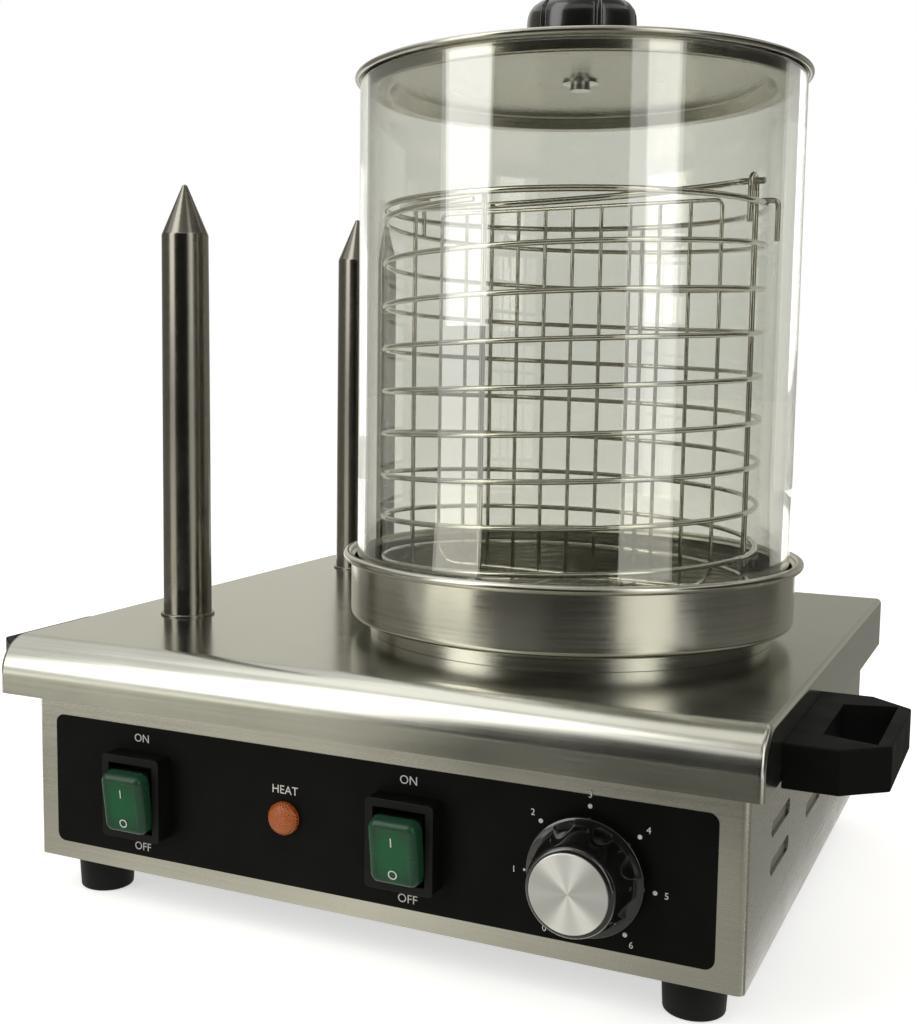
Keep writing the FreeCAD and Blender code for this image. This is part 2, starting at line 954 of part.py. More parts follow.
def make_side_handles():
    """Two handles with chamfered corners, open downwards through the finger gap, and their screws."""
    screws = []
    low_y = front_y + s.handle_front_setback
    high_y = low_y + s.handle_length
    for side, sign in (("left", -1), ("right", 1)):
        wall = half_cover * sign
        outer = wall + s.handle_reach * sign
        shoulder = outer - s.handle_chamfer_out * sign
        inner_wall = wall + s.handle_flange * sign
        inner_grip = outer - s.handle_grip * sign
        along = s.handle_chamfer_along
        body = padded(
            f"handle_{side}",
            "XY_Plane",
            [
                [
                    (wall, low_y),
                    (shoulder, low_y),
                    (outer, low_y + along),
                    (outer, high_y - along),
                    (shoulder, high_y),
                    (wall, high_y),
                ],
                [
                    (inner_wall, low_y + s.handle_arm),
                    (inner_grip, low_y + along),
                    (inner_grip, high_y - along),
                    (inner_wall, high_y - s.handle_arm),
                ],
            ],
            s.handle_height,
        )
        reach = abs(outer.value)
        wall_value = abs(wall.value)

        def outer_edge(edge, reach=reach, wall_value=wall_value, low=low_y.value, high=high_y.value):
            bounds = edge.BoundBox
            level = bounds.ZLength < reach / 1e6
            far = max(abs(bounds.XMin), abs(bounds.XMax))
            near = min(abs(bounds.XMin), abs(bounds.XMax))
            along_wall = far < wall_value + reach / 1e6
            outside = (
                near > reach - reach / 1e6
                or bounds.YMin < low + reach / 1e6
                or bounds.YMax > high - reach / 1e6
            )
            return level and outside and not along_wall

        rounded(f"handle_{side}_edges", body, s.handle_edge_radius, outer_edge)
        place(body, (ZERO, ZERO, cover_top - s.handle_drop))
        tools = []
        inside = (half_cover - s.cover_sheet) * sign
        turn = TO_X if sign > 0 else Rotation(Vector(0, 1, 0), -90)
        for name, y in handle_screw_places():
            depth = s.cover_sheet + s.handle_flange * s.handle_screw_depth_share
            tools.append(
                rod(
                    f"handle_hole_{side}_{name}",
                    s.screw_radius + s.pin_clearance,
                    depth + s.overrun,
                    (inside, y, handle_middle),
                    turn,
                )
            )
            head = rod(
                f"handle_screw_head_{side}_{name}",
                s.screw_head_radius,
                s.screw_head_height,
                (inside - s.screw_head_height * sign, y, handle_middle),
                turn,
            )
            shank = rod(
                f"handle_screw_shank_{side}_{name}",
                s.screw_radius,
                depth + s.screw_head_height,
                (inside - s.screw_head_height * sign, y, handle_middle),
                turn,
            )
            screws.append(fuse(f"handle_screw_{side}_{name}", [head, shank]))
        node(f"side_handle_{side}", cut(f"handle_{side}_drilled", body, tools))
    node("handle_screws", group("handle_screw_group", screws))


def thermostat_screw_places():
    """Where the two screws of the thermostat sit behind its knob."""
    half = s.thermostat_screw_spacing / 2
    yield "left", s.dial_x - half
    yield "right", s.dial_x + half


def make_overlay():
    """The thin black control plate with the same cut-outs as the wall behind it."""
    half = s.overlay_width / 2
    body = padded(
        "overlay_blank",
        "XZ_Plane",
        [rectangle(-half, half, ZERO, s.overlay_height, s.overlay_corner_radius)],
        s.overlay_thickness,
    )
    place(body, (ZERO, front_y, case_bottom + s.overlay_lift))
    start = front_y + s.overrun
    depth = s.overlay_thickness + s.overrun * 2
    tools = []
    for side, x in switch_places():
        tools.append(
            box(
                f"overlay_switch_hole_{side}",
                s.switch_body_width + s.sheet_clearance * 2,
                depth,
                s.switch_body_height + s.sheet_clearance * 2,
                (
                    x - s.switch_body_width / 2 - s.sheet_clearance,
                    face_y - s.overrun,
                    case_bottom + s.switch_level - s.switch_body_height / 2 - s.sheet_clearance,
                ),
            )
        )
    round_holes = [
        ("lamp", s.lamp_x, s.lamp_level, s.lamp_barrel_radius + s.sheet_clearance),
        ("shaft", s.dial_x, s.dial_level, s.shaft_radius + s.sheet_clearance),
    ]
    for name, x in thermostat_screw_places():
        round_holes.append((name, x, s.dial_level, hole_radius))
    for name, x, level, radius in round_holes:
        tools.append(
            rod(f"overlay_hole_{name}", radius, depth, (x, start, case_bottom + level), TO_FRONT)
        )
    node("control_overlay", cut("overlay_cut", body, tools))


def make_switch(side, x):
    """A rocker switch: raised bezel, tilting rocker on two pins, body behind the wall and its tabs."""
    z = case_bottom + s.switch_level
    pivot_y = face_y - s.rocker_pivot_height
    frame = padded(
        f"bezel_{side}",
        "XZ_Plane",
        [
            rectangle(
                -s.bezel_width / 2,
                s.bezel_width / 2,
                -s.bezel_height / 2,
                s.bezel_height / 2,
                s.bezel_edge_radius,
            ),
            rectangle(
                -s.rocker_window_width / 2,
                s.rocker_window_width / 2,
                -s.rocker_window_height / 2,
                s.rocker_window_height / 2,
            ),
        ],
        s.bezel_depth,
    )
    place(frame, (x, face_y, z))
    pin_half = s.rocker_window_width / 2 - s.rocker_gap + s.rocker_pin_length
    pin_hole_half = pin_half + s.rocker_gap / 2
    hole = rod(
        f"bezel_{side}_pin_holes",
        s.rocker_pin_radius + s.pin_clearance,
        pin_hole_half * 2,
        (x - pin_hole_half, pivot_y, z),
        TO_X,
    )
    node(f"switch_{side}_bezel", cut(f"bezel_{side}_cut", frame, [hole]))
    half_tall = s.rocker_window_height / 2 - s.rocker_edge_gap
    pivot = s.rocker_pivot_height
    rocker = padded(
        f"rocker_{side}",
        "YZ_Plane",
        [
            [
                (pivot - s.rocker_keel_height, -s.rocker_keel_half),
                (pivot - s.rocker_keel_height, s.rocker_keel_half),
                (pivot - s.rocker_back_height, half_tall),
                (pivot - s.rocker_face_height, half_tall, s.rocker_edge_radius),
                (pivot - s.rocker_face_height, -half_tall, s.rocker_edge_radius),
                (pivot - s.rocker_back_height, -half_tall),
            ]
        ],
        s.rocker_window_width - s.rocker_gap * 2,
        midplane=True,
    )
    pins = rod(
        f"rocker_{side}_pins", s.rocker_pin_radius, pin_half * 2, (-pin_half, ZERO, ZERO), TO_X
    )
    whole = fuse(f"rocker_{side}_whole", [rocker, pins])
    whole.Placement = Placement(
        Vector(x.value, pivot_y.value, z.value), Rotation(Vector(1, 0, 0), s.rocker_tilt.value)
    )
    for letter, length in zip("xyz", (x, pivot_y, z)):
        whole.setExpression(f"Placement.Base.{letter}", length.formula)
    whole.setExpression("Placement.Rotation.Angle", s.rocker_tilt.formula)
    node(f"switch_{side}_rocker", whole)
    depth = s.switch_body_depth + s.overlay_thickness
    body = box(
        f"switch_{side}_body_block",
        s.switch_body_width,
        depth,
        s.switch_body_height,
        (x - s.switch_body_width / 2, face_y, z - s.switch_body_height / 2),
    )
    node(f"switch_{side}_body", body)
    tabs = []
    for across in (-1, 1):
        for up in (-1, 1):
            tabs.append(
                box(
                    f"switch_{side}_tab_{across + 1}_{up + 1}",
                    s.switch_terminal_thick,
                    s.switch_terminal_length,
                    s.switch_terminal_width,
                    (
                        x + s.switch_terminal_spread_x / 2 * across - s.switch_terminal_thick / 2,
                        face_y + depth,
                        z + s.switch_terminal_spread_z / 2 * up - s.switch_terminal_width / 2,
                    ),
                )
            )
    node(f"switch_{side}_terminals", group(f"switch_{side}_tabs", tabs))


def make_lamp():
    """The pilot lamp: domed lens in front, threaded barrel through the wall and its nut inside."""
    z = case_bottom + s.lamp_level
    lens = turned(
        "lamp_lens",
        [
            (ZERO, ZERO),
            (s.lamp_lens_radius, ZERO),
            (s.lamp_lens_radius, s.lamp_lens_rim),
            (
                s.lamp_lens_radius * s.lamp_dome_low_radius_share,
                s.lamp_lens_height * s.lamp_dome_low_height_share,
            ),
            (
                s.lamp_lens_radius * s.lamp_dome_high_radius_share,
                s.lamp_lens_height * s.lamp_dome_high_height_share,
            ),
            (ZERO, s.lamp_lens_height),
        ],
    )
    node("heat_lamp_lens", place(lens, (s.lamp_x, face_y, z), TO_FRONT))
    barrel = rod(
        "lamp_barrel", s.lamp_barrel_radius, s.lamp_barrel_length, (s.lamp_x, face_y, z), TO_REAR
    )
    node("heat_lamp_body", barrel)
    inner = front_y + s.case_sheet
    nut = hexagon(
        "lamp_nut_blank", s.lamp_nut_width, s.lamp_nut_height, (s.lamp_x, inner, z), TO_REAR
    )
    bore = rod(
        "lamp_nut_bore",
        s.lamp_barrel_radius + s.pin_clearance,
        s.lamp_nut_height + s.overrun * 2,
        (s.lamp_x, inner - s.overrun, z),
        TO_REAR,
    )
    node("heat_lamp_nut", cut("lamp_nut", nut, [bore]))


def make_thermostat():
    """The thermostat behind the wall, its shaft, the scalloped knob and the spun cap on it."""
    z = case_bottom + s.dial_level
    inner = front_y + s.case_sheet
    knob_y = face_y - s.knob_gap
    block = rod(
        "thermostat_block", s.thermostat_radius, s.thermostat_depth, (s.dial_x, inner, z), TO_REAR
    )
    tools = [
        rod(
            "thermostat_bore",
            s.shaft_radius + s.pin_clearance,
            s.shaft_depth_in_body + s.pin_clearance + s.overrun,
            (s.dial_x, inner - s.overrun, z),
            TO_REAR,
        )
    ]
    screws = []
    reach = s.thermostat_depth / 2
    for name, x in thermostat_screw_places():
        tools.append(
            rod(
                f"thermostat_screw_hole_{name}",
                s.screw_radius + s.pin_clearance,
                reach + s.overrun,
                (x, inner - s.overrun, z),
                TO_REAR,
            )
        )
        head = rod(
            f"thermostat_screw_head_{name}",
            s.screw_head_radius,
            s.thermostat_head_height,
            (x, face_y, z),
            TO_FRONT,
        )
        shank = rod(
            f"thermostat_screw_shank_{name}",
            s.screw_radius,
            s.overlay_thickness + s.case_sheet + reach - s.pin_clearance,
            (x, face_y, z),
            TO_REAR,
        )
        screws.append(fuse(f"thermostat_screw_{name}", [head, shank]))
    node("thermostat_body", cut("thermostat_drilled", block, tools))
    node("thermostat_screws", group("thermostat_screw_group", screws))
    front_end = knob_y - s.shaft_depth_in_knob
    shaft_length = s.shaft_depth_in_knob + s.knob_gap + s.overlay_thickness + s.case_sheet
    shaft = rod(
        "shaft_bar",
        s.shaft_radius,
        shaft_length + s.shaft_depth_in_body,
        (s.dial_x, front_end, z),
        TO_REAR,
    )
    node("thermostat_shaft", shaft)
    skirt = rod(
        "knob_skirt", s.knob_skirt_radius, s.knob_skirt_height, (s.dial_x, knob_y, z), TO_FRONT
    )
    rise = s.knob_height - s.knob_skirt_height
    crown = cone(
        "knob_crown",
        s.knob_body_radius,
        s.knob_front_radius,
        rise,
        (s.dial_x, knob_y - s.knob_skirt_height, z),
        TO_FRONT,
    )
    scallops = []
    count = int(s.knob_scallops.value)
    orbit = s.knob_body_radius + s.knob_scallop_radius - s.knob_scallop_bite
    for index in range(count):
        angle = 360.0 * (index + 0.5) / count
        across = Size(math.cos(math.radians(angle)), f"cos({angle})")
        up = Size(math.sin(math.radians(angle)), f"sin({angle})")
        scallops.append(
            rod(
                f"knob_scallop_{index}",
                s.knob_scallop_radius,
                rise + s.overrun,
                (s.dial_x + orbit * across, knob_y - s.knob_skirt_height, z + orbit * up),
                TO_FRONT,
            )
        )
    crown = cut("knob_scalloped", crown, scallops)
    knob = fuse("knob_whole", [skirt, crown])
    bore = rod(
        "knob_bore",
        s.shaft_radius + s.pin_clearance,
        s.shaft_depth_in_knob + s.pin_clearance + s.overrun,
        (s.dial_x, knob_y + s.overrun, z),
        TO_FRONT,
    )
    node("thermostat_knob", cut("knob_bored", knob, [bore]))
    cap = rod(
        "knob_cap_disc",
        s.knob_cap_radius,
        s.knob_cap_thick,
        (s.dial_x, knob_y - s.knob_height, z),
        TO_FRONT,
    )
    node("thermostat_knob_cap", cap)


def make_pan():
    """The steaming pan with a rolled rim and a well, and the collar that carries it on the cover."""
    sheet_t = s.pan_sheet
    wall = s.glass_radius + s.pan_glass_gap + sheet_t
    under = s.pan_shoulder_level
    corner = s.pan_glass_gap + sheet_t
    well = s.pan_well_radius
    rim = s.pan_rim_level - s.pan_bead_radius
    stud_length = s.heater_plate_thick + s.element_tube_radius * 2 + s.clamp_bar_thick + s.clamp_nut_height
    profile = [
        (ZERO, -(stud_length + s.stud_end)),
        (s.clamp_stud_radius, -(stud_length + s.stud_end)),
        (s.clamp_stud_radius, ZERO),
        (well, ZERO),
        (well, under),
        (wall, under, corner),
        (wall, rim),
        (wall - sheet_t, rim),
        (wall - sheet_t, under + sheet_t, corner - sheet_t),
        (well - sheet_t, under + sheet_t),
        (well - sheet_t, sheet_t),
        (ZERO, sheet_t),
    ]
    bowl = place(turned("pan_bowl", profile), (s.pan_x, pan_y, cover_top))
    bead = ring(
        "pan_bead",
        wall + s.pan_rim_overhang,
        s.pan_bead_radius,
        (s.pan_x, pan_y, cover_top + rim),
    )
    node("water_pan", fuse("pan_whole", [bowl, bead]))
    inner = s.collar_radius - s.collar_thick
    collar = turned(
        "collar",
        [
            (inner, ZERO),
            (s.collar_radius, ZERO),
            (s.collar_radius, s.collar_height, s.collar_edge_radius),
            (inner, s.collar_height),
        ],
    )
    node("pan_collar", place(collar, (s.pan_x, pan_y, cover_top)))


def make_pan_heater():
    """The heater plate pressed under the pan, its ring element, clamp bar, nut and cut-out."""
    x = s.pan_x
    plate_z = cover_top - s.heater_plate_thick
    plate = rod("heater_disc", s.heater_plate_radius, s.heater_plate_thick, (x, pan_y, plate_z))
    stud_hole = rod(
        "heater_disc_hole",
        s.clamp_stud_radius + s.sheet_clearance,
        s.heater_plate_thick + s.overrun * 2,
        (x, pan_y, plate_z - s.overrun),
    )
    node("heater_plate", cut("heater_disc_drilled", plate, [stud_hole]))
    ring_z = plate_z - s.element_tube_radius
    tube = ring("element_ring", s.element_ring_radius, s.element_tube_radius, (x, pan_y, ring_z))
    legs = []
    for sign in (-1, 1):
        legs.append(
            rod(
                f"element_leg_{sign + 1}",
                s.element_terminal_radius,
                s.element_terminal_length,
                (
                    x + s.element_terminal_spread / 2 * sign,
                    pan_y - s.element_ring_radius,
                    ring_z - s.element_terminal_length,
                ),
            )
        )
    node("heater_element", fuse("element_whole", [tube] + legs))
    bar_z = plate_z - s.element_tube_radius * 2 - s.clamp_bar_thick
    bar = box(
        "clamp_bar_blank",
        s.clamp_bar_length,
        s.clamp_bar_width,
        s.clamp_bar_thick,
        (x - s.clamp_bar_length / 2, pan_y - s.clamp_bar_width / 2, bar_z),
    )
    bar_hole = rod(
        "clamp_bar_hole",
        s.clamp_stud_radius + s.sheet_clearance,
        s.clamp_bar_thick + s.overrun * 2,
        (x, pan_y, bar_z - s.overrun),
    )
    node("heater_clamp_bar", cut("clamp_bar_drilled", bar, [bar_hole]))
    nut_z = bar_z - s.clamp_nut_height
    nut = hexagon("clamp_nut_blank", s.clamp_nut_width, s.clamp_nut_height, (x, pan_y, nut_z))
    nut_bore = rod(
        "clamp_nut_bore",
        s.clamp_stud_radius + s.pin_clearance,
        s.clamp_nut_height + s.overrun * 2,
        (x, pan_y, nut_z - s.overrun),
    )
    node("heater_clamp_nut", cut("clamp_nut_drilled", nut, [nut_bore]))
    cutout = rod(
        "cutout_can",
        s.cutout_radius,
        s.cutout_height,
        (x, pan_y + s.cutout_offset, plate_z - s.cutout_height),
    )
    node("overheat_cutout", cutout)


def make_glass():
    """The open glass cylinder that stands on the pan's shoulder."""
    base = (s.pan_x, pan_y, shoulder_top + s.seat_gap)
    outer = rod("glass_outer", s.glass_radius, s.glass_height, base)
    inner = rod(
        "glass_inner",
        s.glass_radius - s.glass_wall,
        s.glass_height + s.overrun * 2,
        (s.pan_x, pan_y, shoulder_top + s.seat_gap - s.overrun),
    )
    node("glass_cylinder", cut("glass_tube", outer, [inner]))


def make_lid():
    """The pressed lid with a rolled edge and a step inside the glass, its knob, screw and washer."""
    t = s.lid_sheet
    step = s.lid_step_radius
    channel = s.lid_channel_radius
    rise = s.lid_rise_radius
    down = -s.lid_step_depth
    middle = s.lid_centre_rise
    hole = s.lid_screw_radius + s.sheet_clearance
    profile = [
        (hole, middle),
        (s.lid_hub_radius, middle),
        (rise, ZERO),
        (channel, down),
        (step, down),
        (step, ZERO),
        (s.glass_radius + t / 2, ZERO),
        (s.glass_radius + t / 2, t),
        (step - t, t),
        (step - t, down + t),
        (channel + t / 2, down + t),
        (rise + t / 2, t),
        (s.lid_hub_radius, middle + t),
        (hole, middle + t),
    ]
    sheet_body = place(turned("lid_pressing", profile), (s.pan_x, pan_y, lid_bottom))
    bead = ring(
        "lid_bead",
        s.glass_radius + t,
        s.lid_bead_radius,
        (s.pan_x, pan_y, lid_bottom + s.lid_bead_radius + s.lid_bead_lift),
    )
    node("lid", fuse("lid_whole", [sheet_body, bead]))
    knob_z = lid_bottom + middle + t
    neck = s.lid_knob_neck_radius
    edge = s.lid_knob_radius
    corner = s.lid_knob_edge
    top = s.lid_knob_height
    bore = s.lid_screw_radius + s.pin_clearance
    knob = turned(
        "lid_knob_form",
        [
            (bore, ZERO),
            (neck, ZERO),
            (neck, s.lid_knob_neck_height),
            (edge - s.lid_knob_under, s.lid_knob_neck_height),
            (edge, s.lid_knob_neck_height + s.lid_knob_under),
            (edge, top - corner),
            (
                edge - corner * s.lid_knob_corner_low_in_share,
                top - corner * s.lid_knob_corner_low_drop_share,
            ),
            (
                edge - corner * s.lid_knob_corner_high_in_share,
                top - corner * s.lid_knob_corner_high_drop_share,
            ),
            (edge - corner * s.lid_knob_corner_top_in_share, top),
            (ZERO, top),
            (ZERO, s.lid_screw_depth),
            (bore, s.lid_screw_depth),
        ],
    )
    node("lid_knob", place(knob, (s.pan_x, pan_y, knob_z)))
    under = lid_bottom + middle - s.lid_washer_thick
    washer = rod("lid_washer_disc", s.lid_washer_radius, s.lid_washer_thick, (s.pan_x, pan_y, under))
    washer_hole = rod(
        "lid_washer_hole",
        s.lid_screw_radius + s.sheet_clearance,
        s.lid_washer_thick + s.overrun * 2,
        (s.pan_x, pan_y, under - s.overrun),
    )
    node("lid_washer", cut("lid_washer_drilled", washer, [washer_hole]))
    head_z = under - s.lid_screw_head_height
    head = rod("lid_screw_head", s.lid_screw_head_radius, s.lid_screw_head_height, (s.pan_x, pan_y, head_z))
    shank = rod(
        "lid_screw_shank",
        s.lid_screw_radius,
        s.lid_screw_head_height + s.lid_washer_thick + t + s.lid_screw_depth - s.pin_clearance,
        (s.pan_x, pan_y, head_z),
    )
    node("lid_knob_screw", fuse("lid_screw_whole", [head, shank]))


def make_spike(name, y):
    """A hollow bread spike on its stub, with the cartridge heater inside and the nut below."""
    x = spike_x
    bore = s.spike_bore_radius
    stub = s.spike_stub_radius
    collar_r = s.spike_collar_radius
    top = s.spike_height
    profile = [
        (bore, -s.spike_stub_length),
        (stub, -s.spike_stub_length),
        (stub, ZERO),
        (collar_r, ZERO),
        (collar_r, s.spike_collar_height),
        (s.spike_root_radius, s.spike_collar_height),
        (s.spike_top_radius, top - s.spike_tip_length),
        (s.spike_tip_radius, top - s.spike_tip_radius / 2),
        (ZERO, top),
        (ZERO, s.spike_bore_depth),
        (bore, s.spike_bore_depth),
    ]
    node(f"bread_spike_{name}", place(turned(f"spike_{name}", profile), (x, y, cover_top)))
    heater = rod(
        f"spike_heater_{name}_bar",
        bore - s.spike_heater_clearance,
        s.spike_bore_depth + s.spike_heater_tail - s.spike_heater_clearance,
        (x, y, cover_top - s.spike_heater_tail),
    )
    node(f"spike_heater_{name}", heater)
    nut_z = cover_top - s.cover_sheet - s.spike_nut_height
    blank = hexagon(f"spike_nut_{name}_blank", s.spike_nut_width, s.spike_nut_height, (x, y, nut_z))
    hole = rod(
        f"spike_nut_{name}_bore",
        stub + s.pin_clearance,
        s.spike_nut_height + s.overrun * 2,
        (x, y, nut_z - s.overrun),
    )
    node(f"spike_nut_{name}", cut(f"spike_nut_{name}_drilled", blank, [hole]))


def make_rear_fittings():
    """The cable gland in the rear wall with its nut, and the terminal block on the base plate."""
    x = gland_x
    z = case_bottom + s.gland_level
    hex_head = hexagon("gland_hex", s.gland_hex_width, s.gland_hex_height, (x, rear_y, z), TO_REAR)
    dome = cone(
        "gland_dome",
        s.gland_dome_radius,
        s.gland_dome_radius * s.gland_dome_end_share,
        s.gland_reach - s.gland_hex_height,
        (x, rear_y + s.gland_hex_height, z),
        TO_REAR,
    )
    thread = rod(
        "gland_thread",
        s.gland_thread_radius,
        s.gland_inner_length + s.case_sheet,
        (x, rear_y, z),
        TO_FRONT,
    )
    bore = rod(
        "gland_bore",
        s.gland_bore_radius,
        s.gland_reach + s.gland_inner_length + s.case_sheet + s.overrun * 2,
        (x, rear_y - s.case_sheet - s.gland_inner_length - s.overrun, z),
        TO_REAR,
    )
    node("cable_gland", cut("gland_drilled", fuse("gland_whole", [hex_head, dome, thread]), [bore]))
    nut_y = rear_y - s.case_sheet - s.gland_nut_height
    nut = hexagon("gland_nut_blank", s.gland_hex_width, s.gland_nut_height, (x, nut_y, z), TO_REAR)
    nut_bore = rod(
        "gland_nut_bore",
        s.gland_thread_radius + s.pin_clearance,
        s.gland_nut_height + s.overrun * 2,
        (x, nut_y - s.overrun, z),
        TO_REAR,
    )
    node("cable_gland_nut", cut("gland_nut_drilled", nut, [nut_bore]))
    y = rear_y - s.terminal_block_rear_distance
    middle_x = s.terminal_block_wall_distance - half_case
    low_x = middle_x - s.terminal_block_length / 2
    block = box(
        "terminal_block_body",
        s.terminal_block_length,
        s.terminal_block_width,
        s.terminal_block_height,
        (low_x, y - s.terminal_block_width / 2, plate_top),
    )
    node("terminal_block", block)
    screws = []
    poles = int(s.terminal_poles.value)
    for pole in range(poles):
        for sign in (-1, 1):
            screws.append(
                rod(
                    f"terminal_screw_{pole}_{sign + 1}",
                    s.terminal_screw_radius,
                    s.terminal_screw_height,
                    (
                        low_x + s.terminal_block_length * ((pole + 0.5) / poles),
                        y + s.terminal_block_width * s.terminal_screw_place_share * sign,
                        plate_top + s.terminal_block_height,
                    ),
                )
            )
    node("terminal_block_screws", group("terminal_screw_group", screws))


def in_basket(across, ahead, level):
    """A point from the basket's own turned axes and its height above the cover."""
    turn = math.radians(s.basket_turn.value)
    aside = across - s.basket_aside.value
    return Vector(
        s.pan_x.value + aside * math.cos(turn) - ahead * math.sin(turn),
        pan_y.value + aside * math.sin(turn) + ahead * math.cos(turn),
        cover_top.value + level,
    )


def basket_point(angle, radius, level):
    """A point of the basket from its angle about the basket's axis and its height above the cover."""
    turn = math.radians(angle - s.basket_turn.value)
    return in_basket(radius * math.cos(turn), radius * math.sin(turn), level)


def arc_through(start, tangent, end):
    """The arc from a point along a tangent to an end point."""
    chord = end - start
    ahead = Vector(chord).normalize()
    side = tangent - ahead * tangent.dot(ahead)
    side.normalize()
    half_turn = math.acos(min(1, tangent.dot(ahead)))
    radius = chord.Length / (2 * math.sin(half_turn))
    middle = (start + end) * 0.5 + side * (radius * (1 - math.cos(half_turn)))
    return Part.Arc(start, middle, end).toShape()


def biarc(start, first, end, last):
    """Two arcs that meet without a kink between two points with given tangents."""
    span = end - start
    both = first + last
    spread = 2 * (1 - first.dot(last))
    along = span.dot(both)
    reach = (-along + math.sqrt(along * along + spread * span.dot(span))) / spread
    meeting = (start + end + (first - last) * reach) * 0.5
    join = (meeting - (start + first * reach)).normalize()
    return [arc_through(start, first, meeting), arc_through(meeting, join, end)]


def swept(edges, radius):
    """Round wire along a path of edges, as one solid."""
    path = Part.Wire(edges)
    start = path.OrderedVertexes[0].Point
    first = path.OrderedEdges[0]
    along = first.tangentAt(first.getParameterByLength(0))
    if path.OrderedEdges[0].Orientation == "Reversed":
        along = along * -1
    section = Part.Wire(Part.makeCircle(radius, start, along))
    return path.makePipeShell([section], True, False)


def make_coil():
    """The basket's wall: one wire wound as a helix, a quarter turn at a time."""
    radius = s.basket_coil_radius.value
    pitch = s.basket_coil_pitch.value
    rise = pitch / (2 * math.pi)
    start_angle = s.basket_coil_start_angle.value
    start_level = s.basket_coil_start_level.value
    length = math.hypot(radius, rise)
    stations = []
    for quarter in range(int(s.basket_coil_quarters.value) + 1):
        angle = start_angle + quarter * 90
        turn = math.radians(angle)
        tangent = Vector(-radius * math.sin(turn), radius * math.cos(turn), rise) * (1 / length)
        stations.append((basket_point(angle, radius, start_level + pitch * quarter / 4), tangent))
    edges = []
    for (start, first), (end, last) in zip(stations, stations[1:]):
        edges.extend(biarc(start, first, end, last))
    wire_radius = s.basket_coil_wire.value
    coil = swept(edges, wire_radius)
    path_length = sum(edge.Length for edge in edges)
    points = []
    for edge in edges:
        points.extend(edge.discretize(9)[:-1])
    steps_per_turn = 64
    gaps = []
    for index in range(len(points) - steps_per_turn // 2):
        for other in points[index + steps_per_turn // 2:index + steps_per_turn * 3 // 2]:
            gaps.append((points[index] - other).Length)
    print("coil gap to itself", round(min(gaps) - 2 * wire_radius, 3))
    print("coil volume share", round(coil.Volume / (math.pi * wire_radius ** 2 * path_length), 5))
    shaped("basket_coil", coil)


def grid_offsets():
    """How far each wire of the parallel grids stands from the basket's middle."""
    pairs = int(s.basket_grid_pairs.value)
    for index in range(-pairs, pairs + 1):
        yield index, index * s.basket_grid_pitch.value


ring_level = (s.pan_shoulder_level + s.pan_sheet + s.basket_lift_gap + s.basket_ring_wire).value


def straight_bar(start, end, radius):
    """A round bar between two points."""
    along = end - start
    return Part.makeCylinder(radius, along.Length, start, along)


def make_bottom_grid():
    """The round bottom that stands on the pan: a hoop, parallel wires and one wire across them."""
    wire = s.basket_grid_wire.value
    reach = s.basket_coil_radius.value - s.basket_ring_wire.value / 2
    bars = [straight_bar(in_basket(-reach, 0, ring_level), in_basket(reach, 0, ring_level), wire)]
    for index, offset in grid_offsets():
        chord = math.sqrt(reach ** 2 - offset ** 2)
        bars.append(
            straight_bar(
                in_basket(offset, -chord, ring_level), in_basket(offset, chord, ring_level), wire
            )
        )
    centre = in_basket(0, 0, ring_level)
    hoop = Part.makeTorus(s.basket_coil_radius.value, s.basket_ring_wire.value, centre)
    shaped("basket_bottom_grid", hoop.fuse(bars).removeSplitter())


def make_uprights():
    """Two stout wires that join the turns of the coil in front and at the rear."""
    wire = s.basket_upright_wire.value
    radius = (s.basket_coil_radius - s.basket_coil_wire - s.weld_gap).value - wire
    low = ring_level + s.basket_ring_wire.value + s.weld_gap.value
    high = (s.basket_rim_level - s.basket_rim_wire - s.weld_gap).value
    bars = []
    for place_ahead in (-radius, radius):
        bars.append(
            straight_bar(in_basket(0, place_ahead, low), in_basket(0, place_ahead, high), wire)
        )
    shaped("basket_uprights", Part.makeCompound(bars))


def bent_corner(corner, toward, away, bend):
    """A quarter bend that cuts a right-angled corner, with its two ends."""
    start = corner + toward * bend
    end = corner + away * bend
    middle = corner + (toward + away) * (bend * (1 - math.sin(math.pi / 4)))
    return start, Part.Arc(start, middle, end).toShape(), end


def make_divider():
    """The flat grid that parts the basket in two: a bent frame, upright wires and two legs."""
    wire = s.basket_grid_wire.value
    half = s.basket_grid_pitch.value * s.basket_grid_pairs.value
    low = s.divider_low_level.value
    top = s.divider_top_level.value
    up = Vector(0, 0, 1)
    right = (in_basket(1, 0, 0) - in_basket(0, 0, 0)).normalize()
    corners = [
        bent_corner(in_basket(-half, 0, low), up, right, s.divider_low_bend.value),
        bent_corner(in_basket(half, 0, low), right * -1, up, s.divider_low_bend.value),
        bent_corner(in_basket(half, 0, top), up * -1, right * -1, s.divider_top_bend.value),
        bent_corner(in_basket(-half, 0, top), right, up * -1, s.divider_top_bend.value),
    ]
    edges = []
    for index, (start, bend, end) in enumerate(corners):
        edges.append(bend)
        edges.append(Part.LineSegment(end, corners[(index + 1) % len(corners)][0]).toShape())
    frame = swept(edges, wire)
    foot = ring_level + wire * 2 + s.weld_gap.value
    bars = []
    for index, offset in grid_offsets():
        if abs(offset) < half:
            bottom = foot if abs(index) == int(s.divider_leg_row.value) else low
            bars.append(straight_bar(in_basket(offset, 0, bottom), in_basket(offset, 0, top), wire))
    shaped("basket_divider", frame.fuse(bars).removeSplitter())


